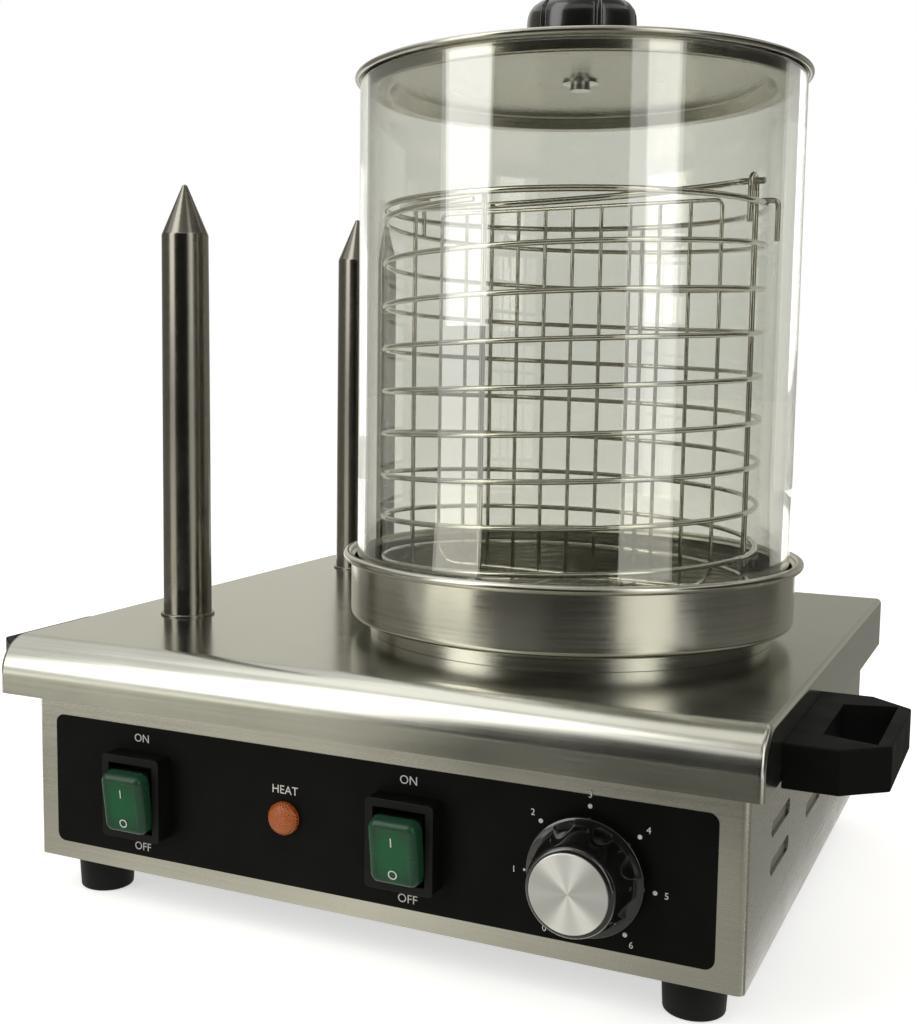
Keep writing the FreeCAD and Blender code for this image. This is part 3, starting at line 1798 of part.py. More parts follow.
def make_rim():
    """The closed rim hoop of the basket, with the short hook that hangs over its outer side."""
    level = s.basket_rim_level.value
    radius = s.basket_coil_radius.value
    hoop = Part.makeTorus(radius, s.basket_rim_wire.value, in_basket(0, 0, level))
    angle = s.hook_angle.value
    bend = (s.basket_rim_wire + s.loop_wire - s.hook_sink).value
    out = radius + s.hook_reach.value + bend
    edges = [
        Part.LineSegment(
            basket_point(angle, radius - bend, level + bend), basket_point(angle, out - bend, level + bend)
        ).toShape(),
        Part.Arc(
            basket_point(angle, out - bend, level + bend),
            basket_point(
                angle, out - bend * (1 - math.sin(math.pi / 4)), level + bend * math.cos(math.pi / 4)
            ),
            basket_point(angle, out, level),
        ).toShape(),
        Part.LineSegment(
            basket_point(angle, out, level), basket_point(angle, out, level - s.hook_drop.value)
        ).toShape(),
    ]
    hook = swept(edges, s.loop_wire.value)
    shaped("basket_rim", hoop.fuse(hook).removeSplitter())


def make_pivot_loops():
    """Two upright wires inside the coil, bent over above the rim into the loops that carry the bail."""
    wire = s.loop_wire.value
    half = s.loop_half_width.value
    leg_radius = (s.basket_coil_radius - s.basket_rim_wire - s.loop_wire - s.weld_gap).value
    radius = math.sqrt(leg_radius ** 2 - half ** 2)
    top = s.loop_top_level.value - wire
    spring = top - half
    low = ring_level + s.basket_ring_wire.value + s.weld_gap.value
    for side, turn in (("right", 0), ("left", 180)):
        angle = math.radians(s.basket_turn.value + turn)
        out = Vector(math.cos(angle), math.sin(angle), 0)
        along = Vector(-math.sin(angle), math.cos(angle), 0)
        centre = in_basket(0, 0, 0) + out * radius

        def at(offset, level, centre=centre, along=along):
            return centre + along * offset + Vector(0, 0, level)

        edges = [
            Part.LineSegment(at(half, low), at(half, spring)).toShape(),
            Part.Arc(at(half, spring), at(0, top), at(-half, spring)).toShape(),
            Part.LineSegment(at(-half, spring), at(-half, spring - s.loop_short_leg.value)).toShape(),
        ]
        shaped(f"basket_pivot_loop_{side}", swept(edges, wire))


def make_bail():
    """The carrying bail: a half hoop whose ends turn out through the two loops."""
    wire = s.bail_wire.value
    radius = s.bail_radius.value
    bend = s.bail_bend.value
    level = (s.loop_top_level - s.loop_wire * 2 - s.bail_wire - s.bail_pin_gap).value
    angle = math.radians(s.basket_turn.value)
    tilt = math.radians(s.bail_tilt.value)
    axis = Vector(math.cos(angle), math.sin(angle), 0)
    flat = Vector(math.sin(angle), -math.cos(angle), 0)
    down = flat * math.cos(tilt) - Vector(0, 0, math.sin(tilt))
    centre = in_basket(0, 0, level)

    def at(across, ahead):
        return centre + axis * across + down * ahead

    reach = s.bail_pin_reach.value
    diagonal = bend * (1 - math.sin(math.pi / 4))
    edges = [
        Part.LineSegment(at(reach, 0), at(radius + bend, 0)).toShape(),
        Part.Arc(at(radius + bend, 0), at(radius + diagonal, diagonal), at(radius, bend)).toShape(),
        Part.Arc(
            at(radius, bend),
            at(radius * math.cos(math.pi / 4), bend + radius * math.sin(math.pi / 4)),
            at(0, bend + radius),
        ).toShape(),
        Part.Arc(
            at(0, bend + radius),
            at(-radius * math.cos(math.pi / 4), bend + radius * math.sin(math.pi / 4)),
            at(-radius, bend),
        ).toShape(),
        Part.Arc(at(-radius, bend), at(-radius - diagonal, diagonal), at(-radius - bend, 0)).toShape(),
        Part.LineSegment(at(-radius - bend, 0), at(-reach, 0)).toShape(),
    ]
    shaped("basket_bail", swept(edges, wire))
    print("bail pivot", [round(length, 4) for length in centre])
    print("bail axis", [round(length, 6) for length in axis])


make_casing()
make_base_plate()
make_feet()
make_top_cover()
make_side_handles()
make_overlay()
for switch_side, switch_x in switch_places():
    make_switch(switch_side, switch_x)
make_lamp()
make_thermostat()
make_pan()
make_pan_heater()
make_glass()
make_lid()
for spike_name, spike_y in spike_places():
    make_spike(spike_name, spike_y)
make_rear_fittings()
make_coil()
make_bottom_grid()
make_uprights()
make_divider()
make_rim()
make_pivot_loops()
make_bail()
doc.recompute()

for thing in doc.Objects:
    failed = [state for state in thing.State if state in ("Invalid", "Error")]
    if failed:
        raise RuntimeError(f"{thing.Name} ({thing.Label}) is {failed}")
for thing in nodes:
    if thing.Shape.isNull() or not thing.Shape.isValid():
        raise RuntimeError(f"{thing.Label} has no valid shape")

os.makedirs("parts", exist_ok=True)
for thing in nodes:
    thing.Shape.exportStep(f"parts/{thing.Label}.step")

boxes = [thing.Shape.BoundBox for thing in nodes]
low = [min(getattr(box_of, side) for box_of in boxes) for side in ("XMin", "YMin", "ZMin")]
high = [max(getattr(box_of, side) for box_of in boxes) for side in ("XMax", "YMax", "ZMax")]
print("nodes", len(nodes))
print("low", [round(length, 3) for length in low], "high", [round(length, 3) for length in high])
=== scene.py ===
"""Hot dog steamer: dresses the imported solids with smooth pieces, finishes, light and a camera.

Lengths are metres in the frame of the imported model: Z up, X to the right seen from the front,
and the control panel faces -Y. Turns in fields are degrees.
"""
import logging
import math
from dataclasses import dataclass
from enum import Enum

import bmesh
import bpy
import numpy as np
from mathutils import Matrix, Vector


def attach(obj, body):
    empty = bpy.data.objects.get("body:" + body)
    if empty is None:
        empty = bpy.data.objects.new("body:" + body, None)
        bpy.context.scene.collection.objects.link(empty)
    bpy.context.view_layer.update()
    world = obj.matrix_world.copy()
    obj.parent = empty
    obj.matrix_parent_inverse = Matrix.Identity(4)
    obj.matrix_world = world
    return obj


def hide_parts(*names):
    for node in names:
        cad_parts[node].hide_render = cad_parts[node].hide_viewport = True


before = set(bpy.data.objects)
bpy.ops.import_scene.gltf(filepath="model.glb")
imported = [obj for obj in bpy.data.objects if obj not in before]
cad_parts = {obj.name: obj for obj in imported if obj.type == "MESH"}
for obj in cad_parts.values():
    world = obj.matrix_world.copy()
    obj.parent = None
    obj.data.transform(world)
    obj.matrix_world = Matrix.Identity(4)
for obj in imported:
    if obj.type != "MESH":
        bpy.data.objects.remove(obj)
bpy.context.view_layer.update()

LOG = logging.getLogger("steamer")

MM = 0.001
FULL_TURN = 2 * math.pi
UPWARD = np.array([0.0, 0.0, 1.0])

# Places that several pieces share: the cover's top, the casing's lower edge and front face, the
# pan's axis. Then the distance under which points become one, and half the thickness of print.
COVER_TOP = 0.1202
CASE_BOTTOM = 0.0175
FACE_Y = -0.1362
PAN_X = 0.0473
PAN_Y = -0.0056
MERGE = 1e-7
PRINT_DEPTH = 0.02 * MM

Point = tuple[float, float, float]
Span = tuple[float, float]


# Shapes


def tidy_mesh(mesh: bpy.types.Mesh, sharp: float = 40.0) -> bpy.types.Mesh:
    """Closes seams and poles, turns the faces outwards and shades smooth between sharp edges.

    Args:
        mesh: the mesh to finish.
        sharp: edges that fold by more than this many degrees stay crisp.

    Returns:
        The same mesh.
    """
    shape = bmesh.new()
    shape.from_mesh(mesh)
    bmesh.ops.remove_doubles(shape, verts=shape.verts, dist=MERGE)
    bmesh.ops.dissolve_degenerate(shape, edges=shape.edges, dist=MERGE)
    bmesh.ops.recalc_face_normals(shape, faces=shape.faces)
    shape.to_mesh(mesh)
    shape.free()
    return weigh_normals(mesh, sharp)


def weigh_normals(mesh: bpy.types.Mesh, sharp: float, most_faces: int = 12) -> bpy.types.Mesh:
    """Sets shading normals that keep long flat sides straight beside small roundings.

    The normal at a corner of a face is the sum of area times normal over the faces at that vertex
    that fold from it by less than the crease angle.

    Args:
        mesh: the mesh to shade.
        sharp: crease angle in degrees.
        most_faces: how many faces at one vertex are looked at.

    Returns:
        The same mesh.
    """
    mesh.shade_smooth()
    mesh.set_sharp_from_angle(angle=math.radians(sharp))
    vertex = np.empty(len(mesh.loops), dtype=np.int32)
    mesh.loops.foreach_get("vertex_index", vertex)
    sides = np.empty(len(mesh.polygons), dtype=np.int32)
    mesh.polygons.foreach_get("loop_total", sides)
    area = np.empty(len(mesh.polygons))
    mesh.polygons.foreach_get("area", area)
    facing = np.empty(3 * len(mesh.polygons))
    mesh.polygons.foreach_get("normal", facing)
    order = np.argsort(vertex, kind="stable")
    vertex = vertex[order]
    face = np.repeat(np.arange(len(sides)), sides)[order]
    facing = facing.reshape(-1, 3)[face]
    pull = facing * area[face, None]
    total = pull.copy()
    for shift in range(1, most_faces):
        near = (facing[shift:] * facing[:-shift]).sum(axis=1) > math.cos(math.radians(sharp))
        near &= vertex[shift:] == vertex[:-shift]
        total[shift:][near] += pull[:-shift][near]
        total[:-shift][near] += pull[shift:][near]
    normals = np.empty_like(total)
    normals[order] = total / np.maximum(np.linalg.norm(total, axis=1, keepdims=True), 1e-20)
    mesh.normals_split_custom_set(normals.tolist())
    return mesh


def as_object(name: str, data: bpy.types.ID) -> bpy.types.Object:
    """Puts a mesh, curve, lamp or camera into the scene as an object at the origin.

    Args:
        name: name of the object.
        data: what it shows.

    Returns:
        The new object.
    """
    piece = bpy.data.objects.new(name, data)
    bpy.context.scene.collection.objects.link(piece)
    return piece


def grid_faces(rows: int, columns: int, close_rows: bool, close_columns: bool) -> np.ndarray:
    """Quads over a grid of points numbered row by row.

    Args:
        rows: number of rows of points.
        columns: number of points in a row.
        close_rows: join the last row to the first.
        close_columns: join the last column to the first.

    Returns:
        Four point numbers for each face.
    """
    first = np.arange(rows if close_rows else rows - 1)
    second = np.arange(columns if close_columns else columns - 1)
    row, column = np.meshgrid(first, second, indexing="ij")
    below, beside = (row + 1) % rows, (column + 1) % columns
    corners = [(row, column), (row, beside), (below, beside), (below, column)]
    return np.stack([up * columns + across for up, across in corners], axis=-1).reshape(-1, 4)


def grids_piece(
    name: str, grids: list[np.ndarray], close_rows: bool, close_columns: bool, sharp: float = 40.0
) -> bpy.types.Object:
    """One piece of several surfaces, each from a grid of points in space.

    Args:
        name: name of the piece.
        grids: an array of rows x columns x 3 for each surface.
        close_rows: join the last row to the first.
        close_columns: join the last column to the first.
        sharp: crease angle in degrees.

    Returns:
        The new object.
    """
    faces, start = [], 0
    for grid in grids:
        faces.append(grid_faces(*grid.shape[:2], close_rows, close_columns) + start)
        start += grid.shape[0] * grid.shape[1]
    mesh = bpy.data.meshes.new(name)
    points = np.concatenate([grid.reshape(-1, 3) for grid in grids])
    mesh.from_pydata(points, [], np.concatenate(faces))
    return as_object(name, tidy_mesh(mesh, sharp))


def corner_arc(line: tuple[np.ndarray, ...], size: float, steps: int, is_radius: bool) -> np.ndarray:
    """The arc that takes a corner off a line.

    A point is the mean of side point, corner and side point with the weights (1 - s)^2,
    2 w s (1 - s) and s^2, for s from 0 to 1 and w the sine of half the inner angle. The side
    points lie radius / tan(half the inner angle) away, or as far as is asked for.

    Args:
        line: the points before, at and after the corner.
        size: radius of the arc, or how far along each side it begins.
        steps: points on the arc.
        is_radius: whether size is the radius.

    Returns:
        The points of the arc.
    """
    before, here, after = line
    back, ahead = before - here, after - here
    back_length, ahead_length = np.linalg.norm(back), np.linalg.norm(ahead)
    back, ahead = back / back_length, ahead / ahead_length
    half = 0.5 * math.acos(float(np.clip(back @ ahead, -1, 1)))
    most = 0.49
    reach = min(size / math.tan(half) if is_radius else size, most * back_length, most * ahead_length)
    share = np.linspace(0.0, 1.0, steps)[:, None]
    weights = [(1 - share) ** 2, 2 * math.sin(half) * share * (1 - share), share ** 2]
    spots = [here + back * reach, here, here + ahead * reach]
    return sum(weight * spot for weight, spot in zip(weights, spots)) / sum(weights)


def rounded_outline(corners: list[Point], steps: int = 6) -> np.ndarray:
    """A closed outline whose corners are arcs.

    Args:
        corners: (across, up, radius) in turn round the outline.
        steps: points on each rounded corner.

    Returns:
        Array of points x 2.
    """
    spots = [np.array(corner[:2], float) for corner in corners]
    lines = zip(spots[-1:] + spots, spots, spots[1:] + spots[:1])
    runs = [
        corner_arc(line, corner[2], steps, True) if corner[2] > 0 else line[1][None]
        for line, corner in zip(lines, corners)
    ]
    return np.concatenate(runs)


def rounded_box(across: float, up: float, radius: float) -> np.ndarray:
    """The outline of a rectangle with round corners, from half its width and half its height."""
    corners = [(-across, -up), (across, -up), (across, up), (-across, up)]
    return rounded_outline([(*corner, radius) for corner in corners])


def bent_line(corners: list[Point], bend: float, steps: int = 7) -> np.ndarray:
    """A line through corners in space, each inner corner an arc.

    Args:
        corners: the points that the line turns at.
        bend: distance kept for the bend along each side.
        steps: points on each bend.

    Returns:
        Array of points x 3.
    """
    spots = [np.array(corner, float) for corner in corners]
    bends = [corner_arc(line, bend, steps, False) for line in zip(spots, spots[1:], spots[2:])]
    return np.concatenate([spots[0][None], *bends, spots[-1][None]])


def turned(
    name: str, outline: np.ndarray, centre: Point, steps: int = 256, sharp: float = 40.0
) -> bpy.types.Object:
    """A closed outline of radius and height turned about a vertical axis.

    A point is (cx + r cos a, cy + r sin a, cz + h), for r and h along the outline and a round it.

    Args:
        name: name of the piece.
        outline: points x 2 of radius and height.
        centre: a point of the axis.
        steps: points round the turn.
        sharp: crease angle in degrees.

    Returns:
        The new object.
    """
    angle = np.linspace(0, FULL_TURN, steps, endpoint=False)[:, None]
    radius, height = outline[None, :, 0], outline[None, :, 1]
    across, ahead, up = centre
    places = [across + radius * np.cos(angle), ahead + radius * np.sin(angle), up + height + 0 * angle]
    return grids_piece(name, [np.stack(places, axis=-1)], True, True, sharp)


def tube(path: np.ndarray, radius: float, across: np.ndarray, closed: bool, sides: int) -> np.ndarray:
    """A round tube carried along a path.

    At each path point with direction T, side = T x across and rise = side x T, both of unit
    length, and the ring is path + radius (cos a side + sin a rise). Open ends close to a point.

    Args:
        path: points x 3.
        radius: radius of the wire.
        across: a direction that no part of the path follows.
        closed: whether the path's end meets its start.
        sides: points round the wire.

    Returns:
        Array of rings x sides x 3.
    """
    ahead = np.roll(path, -1, axis=0) - np.roll(path, 1, axis=0) if closed else np.gradient(path, axis=0)
    ahead = ahead / np.linalg.norm(ahead, axis=1, keepdims=True)
    side = np.cross(ahead, across)
    side /= np.linalg.norm(side, axis=1, keepdims=True)
    rise = np.cross(side, ahead)
    angle = np.linspace(0, FULL_TURN, sides, endpoint=False)[None, :, None]
    rings = path[:, None] + radius * (np.cos(angle) * side[:, None] + np.sin(angle) * rise[:, None])
    if closed:
        return rings
    caps = []
    bulge, width = 0.25 * radius, 0.75
    for end, way in ((0, -1.0), (-1, 1.0)):
        narrow = path[end] + width * (rings[end] - path[end]) + way * bulge * ahead[end]
        tip = np.broadcast_to(path[end] + way * bulge * ahead[end], narrow.shape)
        caps.append(np.stack([tip, narrow][:: -int(way)]))
    return np.concatenate([caps[0], rings, caps[1]])


def eased_copy(name: str, node: str, width: float, segments: int = 2, fold: float = 30.0) -> bpy.types.Object:
    """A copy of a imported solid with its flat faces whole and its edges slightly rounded.

    Args:
        name: name of the piece.
        node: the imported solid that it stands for.
        width: width of the rounding.
        segments: faces across the rounding.
        fold: edges that fold by more degrees than this are rounded.

    Returns:
        The new object.
    """
    merge, flat = 2e-6, math.radians(0.6)
    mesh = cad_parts[node].data.copy()
    mesh.name = name
    mesh.materials.clear()
    shape = bmesh.new()
    shape.from_mesh(mesh)
    bmesh.ops.remove_doubles(shape, verts=shape.verts, dist=merge)
    bmesh.ops.recalc_face_normals(shape, faces=shape.faces)
    bmesh.ops.dissolve_limit(
        shape, angle_limit=flat, verts=shape.verts, edges=shape.edges, use_dissolve_boundaries=False
    )
    shape.to_mesh(mesh)
    shape.free()
    mesh.shade_smooth()
    piece = as_object(name, mesh)
    bevel = piece.modifiers.new("eased edges", "BEVEL")
    bevel.width = width
    bevel.segments = segments
    bevel.limit_method = "ANGLE"
    bevel.angle_limit = math.radians(fold)
    bevel.use_clamp_overlap = True
    bevel.miter_outer = "MITER_ARC"
    eased = bpy.data.meshes.new_from_object(piece.evaluated_get(bpy.context.evaluated_depsgraph_get()))
    piece.modifiers.clear()
    piece.data = weigh_normals(eased, fold)
    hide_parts(node)
    return piece


def heading(degrees: float) -> np.ndarray:
    """The level direction at a turn about Z from +X."""
    return np.array([math.cos(math.radians(degrees)), math.sin(math.radians(degrees)), 0.0])


def to_front(place: Point) -> Matrix:
    """The move that makes a thing lying on the floor face the front at a place."""
    return Matrix.Translation(place) @ Matrix.Rotation(math.pi / 2, 4, "X")


def lettering(name: str, words: list[tuple[str, float, float]], size: float, y: float) -> bpy.types.Object:
    """Generic words printed on a plane that faces the front, as one thin closed mesh.

    Args:
        name: name of the piece.
        words: (text, x of its middle, z of its middle) for each word.
        size: height of a capital letter.
        y: the plane that carries the print.

    Returns:
        The new object.
    """
    font_size = size * 1.42
    whole = bmesh.new()
    for text, x, z in words:
        curve = bpy.data.curves.new(name + "_curve", "FONT")
        curve.body = text
        curve.align_x = curve.align_y = "CENTER"
        curve.size = font_size
        curve.extrude = PRINT_DEPTH
        curve.resolution_u = 3
        carrier = as_object(name + "_carrier", curve)
        bpy.context.view_layer.update()
        mesh = bpy.data.meshes.new_from_object(carrier)
        mesh.transform(to_front((x, y, z)))
        whole.from_mesh(mesh)
        bpy.data.objects.remove(carrier)
        bpy.data.curves.remove(curve)
        bpy.data.meshes.remove(mesh)
    bmesh.ops.remove_doubles(whole, verts=whole.verts, dist=MERGE)
    joined = bpy.data.meshes.new(name)
    whole.to_mesh(joined)
    whole.free()
    return as_object(name, joined)


# Finishes


class Tree:
    """A short way to write nodes into a tree."""

    def __init__(self, tree: bpy.types.NodeTree) -> None:
        """Empties the tree that nodes are written into."""
        self.tree = tree
        tree.nodes.clear()

    def add(self, kind: str, settings: dict | None = None, **values: object) -> bpy.types.Node:
        """Adds a node.

        Args:
            kind: the node's type without its ShaderNode prefix.
            settings: properties of the node.
            values: what its inputs get, by number as _0, or by name with _ for a space.

        Returns:
            The node.
        """
        node = self.tree.nodes.new("ShaderNode" + kind)
        for key, value in (settings or {}).items():
            setattr(node, key, value)
        for key, value in values.items():
            self.feed(node.inputs[int(key[1:]) if key[0] == "_" else key.replace("_", " ")], value)
        return node

    def feed(self, socket: bpy.types.NodeSocket, value: object) -> None:
        """Links an output to a socket, or sets the socket's own value."""
        if isinstance(value, bpy.types.NodeSocket):
            self.tree.links.new(value, socket)
        else:
            socket.default_value = value

    def maths(self, operation: str, first: object, second: object = 0.0) -> bpy.types.NodeSocket:
        """One arithmetic step and its result."""
        return self.add("Math", {"operation": operation}, _0=first, _1=second).outputs[0]

    def chain(self, value: object, *steps: tuple[str, float]) -> bpy.types.NodeSocket:
        """Arithmetic steps in turn, each an operation and its second number."""
        for operation, second in steps:
            value = self.maths(operation, value, second)
        return value

    def both(self, first: tuple[object, float], second: tuple[object, float]) -> bpy.types.NodeSocket:
        """The sum of two patterns, each times its weight."""
        weighted = (self.maths("MULTIPLY", value, weight) for value, weight in (first, second))
        return self.maths("ADD", *weighted)

    def seen_ray(self) -> bpy.types.NodeSocket:
        """1 for the camera's rays and for those through glass or off gloss, and 0 for the light that falls."""
        rays = self.add("LightPath").outputs
        through = self.maths("MAXIMUM", rays["Is Transmission Ray"], rays["Is Glossy Ray"])
        return self.maths("MAXIMUM", rays["Is Camera Ray"], through)


class Nodes(Tree):
    """The nodes of one material, on Object coordinates."""

    def __init__(self, name: str) -> None:
        """Starts a material with one surface shader.

        Args:
            name: name of the material.
        """
        self.material = bpy.data.materials.new(name)
        self.material.use_nodes = True
        super().__init__(self.material.node_tree)
        self.shader = self.add("BsdfPrincipled")
        self.output = self.add("OutputMaterial", Surface=self.shader.outputs[0])
        self.place = self.add("TexCoord").outputs["Object"]

    def surface(self, **values: object) -> None:
        """Feeds the surface shader's inputs by name."""
        for key, value in values.items():
            self.feed(self.shader.inputs[key.replace("_", " ")], value)

    def noise(self, scale: float, detail: float = 2.0, where: object = None) -> bpy.types.NodeSocket:
        """A soft random pattern of about that many spots in a metre."""
        return self.add("TexNoise", Vector=where or self.place, Scale=scale, Detail=detail).outputs[0]

    def stretched(self, scale: Point, centre: Point = (0, 0, 0)) -> bpy.types.NodeSocket:
        """Object coordinates about a centre, scaled along each axis."""
        moved = self.add("VectorMath", {"operation": "SUBTRACT"}, _0=self.place, _1=centre).outputs[0]
        return self.add("VectorMath", {"operation": "MULTIPLY"}, _0=moved, _1=scale).outputs[0]

    def parts(self, centre: Point = (0, 0, 0)) -> list[bpy.types.NodeSocket]:
        """The three Object coordinates about a centre."""
        return list(self.add("SeparateXYZ", Vector=self.stretched((1, 1, 1), centre)).outputs)

    def away(self, first: bpy.types.NodeSocket, second: bpy.types.NodeSocket) -> bpy.types.NodeSocket:
        """How far out a point is: the root of the sum of two squares."""
        squares = (self.maths("POWER", part, 2.0) for part in (first, second))
        return self.maths("SQRT", self.maths("ADD", *squares))

    def ramp(self, value: object, start: Span, end: Span, kind: str = "LINEAR") -> bpy.types.NodeSocket:
        """A value's span spread over another span, and held at its ends."""
        ends = {"From_Min": start[0], "From_Max": start[1], "To_Min": end[0], "To_Max": end[1]}
        return self.add("MapRange", {"interpolation_type": kind}, Value=value, **ends).outputs[0]

    def spread(self, value: bpy.types.NodeSocket, low: float = 0.0, high: float = 1.0) -> bpy.types.NodeSocket:
        """The middle of a pattern, 0.3 to 0.7, spread between two values."""
        return self.ramp(value, (0.3, 0.7), (low, high))

    def blend(self, share: object, first: Point, second: Point) -> bpy.types.NodeSocket:
        """A colour between two colours."""
        return self.add("Mix", {"data_type": "RGBA"}, _0=share, _6=(*first, 1.0), _7=(*second, 1.0)).outputs[2]

    def bump(self, height: bpy.types.NodeSocket, depth: float, strength: float = 1.0) -> bpy.types.NodeSocket:
        """A surface normal tilted by a height pattern that is depth metres tall."""
        return self.add("Bump", Height=height, Strength=strength, Distance=depth).outputs[0]


def shade(tone: Point, strength: float) -> Point:
    """A tone made darker or lighter, and never more than full."""
    return tuple(min(1.0, strength * part) for part in tone)


class Grain(Enum):
    """Which way the fine lines of a brushed metal run."""

    ALONG = "along the sheet"
    ROUND = "round a vertical axis"
    NONE = "no lines"


@dataclass(frozen=True)
class Finish:
    """What every finish has: a name, and the way from it to a material."""

    name: str

    def feed(self, nodes: Nodes) -> None:
        """Feeds the surface shader, each finish in its own way."""
        raise NotImplementedError

    def build(self) -> bpy.types.Material:
        """Makes the material.

        Returns:
            The material.
        """
        nodes = Nodes(self.name)
        self.feed(nodes)
        return nodes.material


@dataclass(frozen=True)
class Steel(Finish):
    """Stainless or plated steel with fine brushed lines."""

    tone: Point
    roughness: Span = (0.2, 0.32)
    grain: Grain = Grain.ALONG
    depth: float = 0.004 * MM
    axis: Point = (PAN_X, PAN_Y, 0.0)
    ring_scale: float = 900.0
    across_lines: float = 1100.0
    along_lines: float = 9.0
    speck_scale: float = 240.0
    cloud_scale: float = 22.0
    cloud_share: float = 0.55

    def lines(self, nodes: Nodes) -> bpy.types.NodeSocket:
        """The pattern of brushed lines, from 0 to 1.

        Along a sheet the lines run along X on faces to the front or top, and along Y on faces to the
        side. Round an axis they follow circles, because the pattern reads radius and height only.

        Args:
            nodes: the material's nodes.

        Returns:
            The pattern.
        """
        if self.grain is Grain.NONE:
            return nodes.noise(self.speck_scale, 3.0)
        if self.grain is Grain.ROUND:
            x, y, z = nodes.parts(self.axis)
            out, up = (nodes.maths("MULTIPLY", part, self.ring_scale) for part in (nodes.away(x, y), z))
            return nodes.noise(1.0, where=nodes.add("CombineXYZ", X=out, Y=up).outputs[0])
        fine, long = self.across_lines, self.along_lines
        flat = nodes.noise(1.0, where=nodes.stretched((long, fine, fine)))
        side = nodes.noise(1.0, where=nodes.stretched((fine, long, fine)))
        facing = nodes.add("SeparateXYZ", Vector=nodes.add("NewGeometry").outputs["Normal"])
        to_side = nodes.chain(facing.outputs[0], ("ABSOLUTE", 0.0), ("GREATER_THAN", 0.7))
        return nodes.add("Mix", {"data_type": "FLOAT"}, _0=to_side, _2=flat, _3=side).outputs[0]

    def feed(self, nodes: Nodes) -> None:
        """Feeds colour and roughness from clouds and lines, and the bump from the lines.

        Args:
            nodes: the material's nodes.
        """
        cloud = nodes.noise(self.cloud_scale, 4.0)
        lines = self.lines(nodes)
        mixed = nodes.both((cloud, self.cloud_share), (lines, 1 - self.cloud_share))
        nodes.surface(
            Base_Color=nodes.blend(nodes.spread(mixed), shade(self.tone, 0.9), shade(self.tone, 1.06)),
            Metallic=1.0,
            Roughness=nodes.spread(mixed, *self.roughness),
            Normal=nodes.bump(lines, self.depth),
        )


@dataclass(frozen=True)
class Plastic(Finish):
    """Moulded plastic or rubber with a faint skin of its mould."""

    tone: Point
    roughness: Span
    skin: float = 900.0
    depth: float = 0.01 * MM
    coat: float = 0.0
    gloss: float = 0.5
    cloud_scale: float = 60.0

    def feed(self, nodes: Nodes) -> None:
        """Feeds colour and roughness from clouds, and the bump from the mould's skin.

        Args:
            nodes: the material's nodes.
        """
        cloud = nodes.noise(self.cloud_scale, 4.0)
        nodes.surface(
            Base_Color=nodes.blend(nodes.spread(cloud), shade(self.tone, 0.8), shade(self.tone, 1.25)),
            Roughness=nodes.spread(cloud, *self.roughness),
            Normal=nodes.bump(nodes.noise(self.skin), self.depth),
            Specular_IOR_Level=self.gloss,
            Coat_Weight=self.coat,
            Coat_Roughness=0.05,
        )


@dataclass(frozen=True)
class RockerGreen(Finish):
    """Translucent green plastic with a painted glow: its colour is brighter in the middle of the rocker."""

    middle: Point
    # inner is the painted glow at the rocker's middle, outer the green towards its edge.
    inner: Point = (0.005, 0.1, 0.033)
    outer: Point = (0.014, 0.058, 0.03)
    reach: Point = (90, 0, 68)
    fall: Span = (0.35, 1.0)
    cloud_scale: float = 180.0

    def feed(self, nodes: Nodes) -> None:
        """Feeds a colour with a painted glow, brighter near the rocker's middle and darker towards its edge.

        Args:
            nodes: the material's nodes.
        """
        place = nodes.stretched(self.reach, self.middle)
        away = nodes.add("VectorMath", {"operation": "LENGTH"}, _0=place).outputs["Value"]
        share = nodes.ramp(away, self.fall, (0.0, 1.0), "SMOOTHSTEP")
        cloud = nodes.noise(self.cloud_scale, 3.0)
        nodes.surface(
            Base_Color=nodes.blend(share, self.inner, self.outer),
            Roughness=nodes.spread(cloud, 0.16, 0.3),
            Normal=nodes.bump(cloud, 0.02 * MM),
            Specular_IOR_Level=0.25,
            Subsurface_Weight=0.25,
            Subsurface_Scale=0.002,
            Coat_Weight=0.06,
            Coat_Roughness=0.15,
        )


@dataclass(frozen=True)
class LampOrange(Finish):
    """Translucent orange lens with the fine grid that is moulded behind it."""

    middle: Point
    dark: Point = (0.2, 0.026, 0.004)
    light: Point = (0.52, 0.14, 0.02)
    glow: tuple[float, float, float, float] = (0.8, 0.2, 0.03, 1.0)
    bands: float = 5200.0

    def feed(self, nodes: Nodes) -> None:
        """Feeds two sets of crossed bands that darken the colour and lift the surface.

        Args:
            nodes: the material's nodes.
        """
        x, _, z = nodes.parts(self.middle)
        rows, columns = (nodes.chain(part, ("MULTIPLY", self.bands), ("SINE", 0.0)) for part in (x, z))
        grid = nodes.chain(nodes.maths("MULTIPLY", rows, columns), ("ADD", 1.0), ("MULTIPLY", 0.5))
        nodes.surface(
            Base_Color=nodes.blend(grid, self.dark, self.light),
            Roughness=nodes.spread(grid, 0.15, 0.3),
            Normal=nodes.bump(grid, 0.15 * MM),
            Coat_Weight=0.12,
            Coat_Roughness=0.05,
            Emission_Color=self.glow,
            Emission_Strength=0.05,
        )


